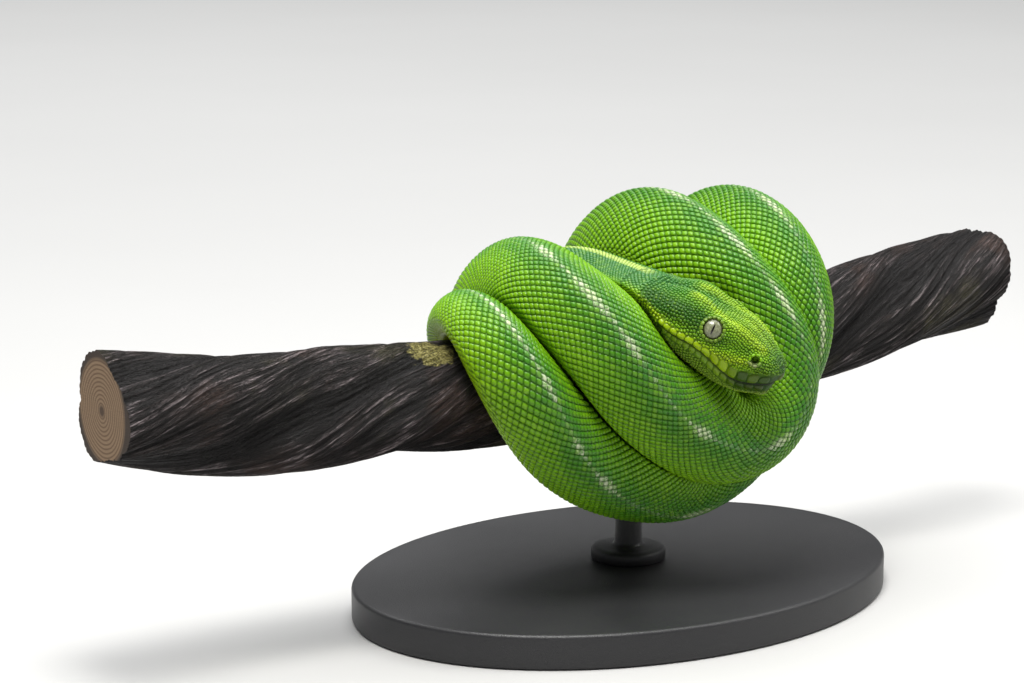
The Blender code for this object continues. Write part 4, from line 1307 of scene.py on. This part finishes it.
# ------------------------------------------------- the lips, eye rims and nostrils
# Smooth swollen plates edge the mouth above and below, a ring of small ones
# frames each eye, and a thick rim stands round each nostril. One broad plate
# closes the snout's front.
PLATE_SIDES = 16
PLATE_LEVELS = ((1.0, -0.16), (0.93, 0.10), (0.74, 0.25), (0.42, 0.34))     # share of the outline, height
PLATE_TOP, PLATE_RIM = 0.37, 0.66
PLATE_GAP = 0.20            # between the mouth's line and a lip's plates
LIPS = ((UPPER_LIP, 1, 0.95), (LOWER_LIP, -1, 0.80))        # plates, side of the mouth, thickness
EYE_RING, EYE_SCALES, EYE_SCALE = 3.23, 16, (0.97, 0.56)
NOSTRIL_RING, NOSTRIL_SCALES, NOSTRIL_SCALE = 1.56, 7, (0.96, 0.40)
PLATE_EDGE = (0.04, 0.05)   # half the seam between neighbours, along and up
INSIDE_HEAD = (20.0, 0.0, 0.0)
BESIDE_HEAD, BEFORE_SNOUT, OVER_FACE = 20, 12, 9        # where the lines that meet the skin start
SNOUT_PLATE, SNOUT_PLATE_HALF = (0.0, -1.55), (2.0, 1.30)       # side, up
SCATTER, SCATTER_BY = (12.9, 78.2, 37.7), 43.7          # turns a place into an even random share


def face_tree():
    """The head's own skin in head coordinates, right side negative, to lay plates on."""
    rows = int(np.searchsorted(surface_places, FACE_END))
    q = to_head(np.concatenate([surface[:rows].reshape(-1, 3), surface[:1].mean(1)]))
    faces = tube_faces(rows, SKIN_SIDES) + fan_faces(0, SKIN_SIDES, rows * SKIN_SIDES)
    return BVHTree.FromPolygons(q.tolist(), [tuple(face) for face in faces])


def landed(starts, way):
    """Where lines from the starts first meet the head's skin."""
    way = Vector(way).normalized()
    found = [face_skin.ray_cast(Vector(start), way) for start in np.atleast_2d(starts)]
    return np.array([hit[0] for hit in found])


class Plates:
    """Gathers plates in head coordinates, to become one mesh."""

    def __init__(self):
        self.points, self.faces, self.rim, self.root, self.spot = [], [], [], [], []

    def add(self, to_skin, middle, half, thick, square=3.0):
        """One domed plate; to_skin turns flat places into places on the skin."""
        turn = np.arange(PLATE_SIDES) * 2 * math.pi / PLATE_SIDES
        flat = np.stack([np.sin(turn), np.cos(turn)], -1) * squarish(turn, square)[:, None]
        rings_of = [to_skin(np.array(middle) + share * flat * np.array(half)) for share, _ in PLATE_LEVELS]
        top = to_skin(np.array([middle], float))
        quarter = PLATE_SIDES // 4
        outer = rings_of[1]
        out = unit(np.cross(outer[quarter] - outer[3 * quarter], outer[0] - outer[2 * quarter]))
        inward = out @ (top[0] - INSIDE_HEAD) < 0
        out = -out if inward else out
        base = sum(len(part) for part in self.points)
        self.points += [ring + out * height * thick for ring, (_, height) in zip(rings_of, PLATE_LEVELS)]
        self.points.append(top + out * PLATE_TOP * thick)
        top_ring = (len(PLATE_LEVELS) - 1) * PLATE_SIDES
        faces = tube_faces(len(PLATE_LEVELS), PLATE_SIDES)
        faces += turned_over(fan_faces(top_ring, PLATE_SIDES, top_ring + PLATE_SIDES))
        self.faces += [[base + v for v in face] for face in (faces if inward else turned_over(faces))]
        shares = np.append(np.repeat([share for share, _ in PLATE_LEVELS], PLATE_SIDES), 0.0)
        self.rim.append(PLATE_RIM * shares)
        self.root.append(np.repeat(top, len(shares), axis=0))
        self.spot.append(np.resize(flat, (len(shares), 2)) * shares[:, None])

    def finish(self, name):
        """The gathered plates as one piece, marked like the rest of the skin."""
        q, root = np.concatenate(self.points), np.concatenate(self.root)
        rooted = from_head(root)
        piece = new_piece(name, from_head(q), self.faces, scales_green)
        angle = np.arctan2(root[:, 1], root[:, 2] + 1.0)
        mark(piece, root[:, 0], angle, rooted)
        keep_numbers(piece, "root", in_frame(rooted), "FLOAT_VECTOR")
        keep_numbers(piece, "rim", np.concatenate(self.rim))
        shade = np.sin(root @ SCATTER) * SCATTER_BY
        keep_numbers(piece, "shade", shade - np.floor(shade))
        share = np.stack([(root[:, 0] + 2) / (HEAD_LENGTH + 2), (angle + math.pi) / (2 * math.pi)], -1)
        keep_patches(piece, 0.01 + 0.98 * share + np.concatenate(self.spot) * PATCH / 2)
        return piece


def beside(sign):
    """Flat places (back, height over the mouth) to the skin of one side of the head."""
    def to_skin(flat):
        back = flat[:, 0]
        up = flat[:, 1] - above_mouth(back[:, None] * (1, 0, 0))
        return landed(np.stack([back, 0 * up + BESIDE_HEAD * sign, up], -1), (0, -sign, 0))
    return to_skin


def in_front(flat):
    """Flat places (side, up) to the front of the snout."""
    return landed(np.pad(flat, ((0, 0), (1, 0)), constant_values=-BEFORE_SNOUT), (1, 0, 0))


def around(sign, centre, out):
    """Flat places (turn, distance) about an axis that points out of the skin."""
    centre, out = centre * (1, sign, 1), out * (1, sign, 1)
    first = unit(np.cross(out, (1.0, 0.0, 0.0)))
    second = np.cross(out, first)

    def to_skin(flat):
        turn, distance = flat.T
        spots = distance[:, None] * (np.cos(turn)[:, None] * first + np.sin(turn)[:, None] * second)
        return landed(centre + OVER_FACE * out + spots, -out)
    return to_skin


def add_lips(plates, sign):
    """Plates side by side above and below the mouth."""
    for lip, way, thick in LIPS:
        for (start, high), (end, _) in zip(lip[:-1], lip[1:]):
            middle = ((start + end) / 2, way * (PLATE_GAP + high / 2))
            half = ((end - start) / 2 - PLATE_EDGE[0], high / 2 - PLATE_EDGE[1])
            plates.add(beside(sign), middle, half, thick)


def add_ring(plates, to_skin, count, radius, scale, thick):
    """A ring of plates; scale gives their half sizes, as a share of their room and in millimetres."""
    for i in range(count):
        middle = (i / count * 2 * math.pi, radius)
        plates.add(to_skin, middle, (math.pi / count * scale[0], scale[1]), thick, 2.6)


face_skin = face_tree()
lips = Plates()
for sign in (1, -1):
    add_lips(lips, sign)
    eye_rim = around(sign, np.array([EYE_BACK, EYE_SIDE, EYE_UP]), GAZE)
    add_ring(lips, eye_rim, EYE_SCALES, EYE_RING, EYE_SCALE, 1.10)
    add_ring(lips, around(sign, NOSTRIL, NOSTRIL_OUT), NOSTRIL_SCALES, NOSTRIL_RING, NOSTRIL_SCALE, 1.2)
lips.add(in_front, SNOUT_PLATE, SNOUT_PLATE_HALF, 1.2, 2.6)
scales_lips = lips.finish("scales_lips")
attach(scales_lips, "root")

# ------------------------------------------------------------------ the eyes
# Smooth wet balls under a clear fixed scale: a silver-grey iris with fine
# branching veins and a narrow upright slit. Each sits deep in a round socket
# and stands out of it by about a millimetre.
EYE_RINGS, EYE_SIDES = 40, 64
EYE_FLATTER = 0.25          # how much shorter it is along its gaze
SLIT_HALF, SLIT_LONG = 0.26, 1.60


def eye_material():
    """Cloudy silver with fine veins, a dark outer ring and a black slit with a paler edge."""
    m = Nodes("silver_eye")
    spot = m.vector("iris")
    axes = m.node("ShaderNodeSeparateXYZ", {"Vector": spot})
    across, tall = axes.outputs["X"], axes.outputs["Y"]
    apart = m.node("ShaderNodeVectorMath", {0: spot}, operation="LENGTH").outputs["Value"]
    cloud = m.noise(spot, 1.1, 4.0, 0.6)
    veins = m.noise(spot, 2.2, 5.0, 0.72, stretch=(1.0, 0.55, 1.0))
    iris = m.ramp(cloud, (0.32, (0.130, 0.142, 0.074)), (0.52, (0.205, 0.220, 0.128)),
                  (0.70, (0.320, 0.330, 0.215)))
    vein = m.math("ABSOLUTE", m.math("SUBTRACT", veins, 0.5))
    iris = m.mix(m.step(vein, 0.028, 0.0, 0.0, 0.55), iris, (0.070, 0.070, 0.034))
    iris = m.mix(m.step(apart, 2.10, 2.50), iris, (0.050, 0.055, 0.022))
    wide = m.math("ABSOLUTE", m.math("DIVIDE", across, SLIT_HALF))
    long = m.math("ABSOLUTE", m.math("DIVIDE", tall, SLIT_LONG))
    slit = m.math("ADD", m.math("POWER", wide, 1.6), m.math("POWER", long, 2.2))
    iris = m.mix(m.step(slit, 1.9, 1.0, 0.0, 0.6), iris, (0.16, 0.15, 0.10))
    iris = m.mix(m.step(slit, 1.12, 0.92), iris, (0.003, 0.003, 0.003))
    return m.finish(Base_Color=iris, Roughness=0.20, Specular_IOR_Level=0.4, Coat_Weight=0.35,
                    Coat_Roughness=0.05)


def make_eye(name, sign):
    """A ball whose poles lie along the gaze, with its slit upright."""
    gaze = GAZE * (1, sign, 1)
    tall = unit(np.array([0.0, 0.0, 1.0]) - gaze[2] * gaze)
    axes = np.stack([np.cross(tall, gaze), tall, gaze])
    tilt = np.linspace(0, math.pi, EYE_RINGS + 2)[1:-1, None]
    turn = np.linspace(0, 2 * math.pi, EYE_SIDES, endpoint=False)[None, :]
    ball = np.stack([np.sin(tilt) * np.cos(turn), np.sin(tilt) * np.sin(turn), np.cos(tilt) + 0 * turn], -1)
    ball = np.concatenate([ball.reshape(-1, 3), [(0, 0, 1), (0, 0, -1)]])
    ball = ball * (EYE_RADIUS, EYE_RADIUS, EYE_RADIUS - EYE_FLATTER)
    points = from_head(ball @ axes + (EYE_BACK, sign * EYE_SIDE, EYE_UP))
    piece = new_piece(name, points, turned_over(closed_tube(EYE_RINGS, EYE_SIDES)), silver_eye)
    keep_numbers(piece, "iris", ball * (1, 1, 0), "FLOAT_VECTOR")
    return piece


silver_eye = eye_material()
for name, node, sign in (("left_eye", "eye_left", 1), ("right_eye", "eye_right", -1)):
    eye = make_eye(name, sign)
    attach(eye, "root")
    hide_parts(node)

# ------------------------------------------------- the floor, light and camera
# A pale plain floor under even light: a large soft box overhead, a smaller one
# over the coil's front, and a weak one from the side of the head.
CAMERA_AZIMUTH, CAMERA_HEIGHT = -33.0, 12.0        # degrees
CAMERA_AWAY, SENSOR_WIDE = 800.0, 36.0
CAMERA_AIM = (-32.77, 8.27)         # across and up the view, from the branch's axis under the coil
VIEW_WIDE = 297.0                   # what the view takes in there
LIGHTS = (                          # name, place, target, size, power, colour; in metres from the coil
    ("room_light", (0.2, 0.9, 2.6), (0.2, 0.9, 0.0), (3.4, 3.4), 150.0, (1.0, 1.0, 1.0)),
    ("key_light", (-0.16, -0.20, 0.62), (0, 0, 0), (0.26, 0.20), 5.0, (1.0, 0.985, 0.95)),
    ("side_light", (0.62, -0.40, 0.60), (0, 0, 0), (0.4, 0.4), 3.2, (1.0, 0.98, 0.95)),
)
SKY, SKY_STRENGTH = (0.86, 0.87, 0.88, 1.0), 0.24
FLOOR_HALF = 6.0


def camera_axes():
    """The ways right, up and back from what the camera sees."""
    a, e = math.radians(CAMERA_AZIMUTH), math.radians(CAMERA_HEIGHT)
    back = np.array([math.sin(a) * math.cos(e), -math.cos(a) * math.cos(e), math.sin(e)])
    right = np.array([math.cos(a), math.sin(a), 0.0])
    return right, np.cross(back, right), back


def aimed(thing, place, target):
    """Put a lamp or the camera in the scene, with its back to the way from the target."""
    thing.location = place
    thing.rotation_euler = (Vector(place) - Vector(target)).to_track_quat("Z", "Y").to_euler()
    bpy.context.scene.collection.objects.link(thing)


def soft_box(name, place, target, size, power, colour):
    """A flat lamp that gives soft light."""
    light = bpy.data.lights.new(name, "AREA")
    light.shape = "RECTANGLE"
    light.size, light.size_y = size
    light.energy = power
    light.color = colour
    aimed(bpy.data.objects.new(name, light), place, target)


def floor_material():
    """Plain pale grey, very slightly clouded."""
    m = Nodes("pale_floor")
    cloud = m.noise(m.place(), 3.0, 3.0)
    colour = m.mix(cloud, (0.47, 0.47, 0.465), (0.50, 0.50, 0.495))
    return m.finish(Base_Color=colour, Roughness=0.75, Specular_IOR_Level=0.3)


floor_mesh = bpy.data.meshes.new("floor")
floor_corners = [(x * FLOOR_HALF, y * FLOOR_HALF, 0) for x, y in ((-1, -1), (1, -1), (1, 1), (-1, 1))]
floor_mesh.from_pydata(floor_corners, [], [(0, 1, 2, 3)])
floor_mesh.materials.append(floor_material())
floor_plane = bpy.data.objects.new("floor", floor_mesh)
bpy.context.scene.collection.objects.link(floor_plane)

right, upward, back = camera_axes()
aim = CAMERA_AIM[0] * right + CAMERA_AIM[1] * upward
camera = bpy.data.cameras.new("camera")
camera.sensor_width = SENSOR_WIDE
camera.lens = SENSOR_WIDE * CAMERA_AWAY / VIEW_WIDE
camera.clip_start = 0.02
camera_object = bpy.data.objects.new("camera", camera)
aimed(camera_object, in_frame(aim + CAMERA_AWAY * back).tolist(), in_frame(aim).tolist())
bpy.context.scene.camera = camera_object

coil = Vector(in_frame((0, 0, 15)).tolist())
for name, place, target, size, power, colour in LIGHTS:
    soft_box(name, coil + Vector(place), coil + Vector(target), size, power, colour)
world = bpy.data.worlds.new("studio")
world.use_nodes = True
world.node_tree.nodes["Background"].inputs["Color"].default_value = SKY
world.node_tree.nodes["Background"].inputs["Strength"].default_value = SKY_STRENGTH
bpy.context.scene.world = world
bpy.context.scene.view_settings.view_transform = "Standard"
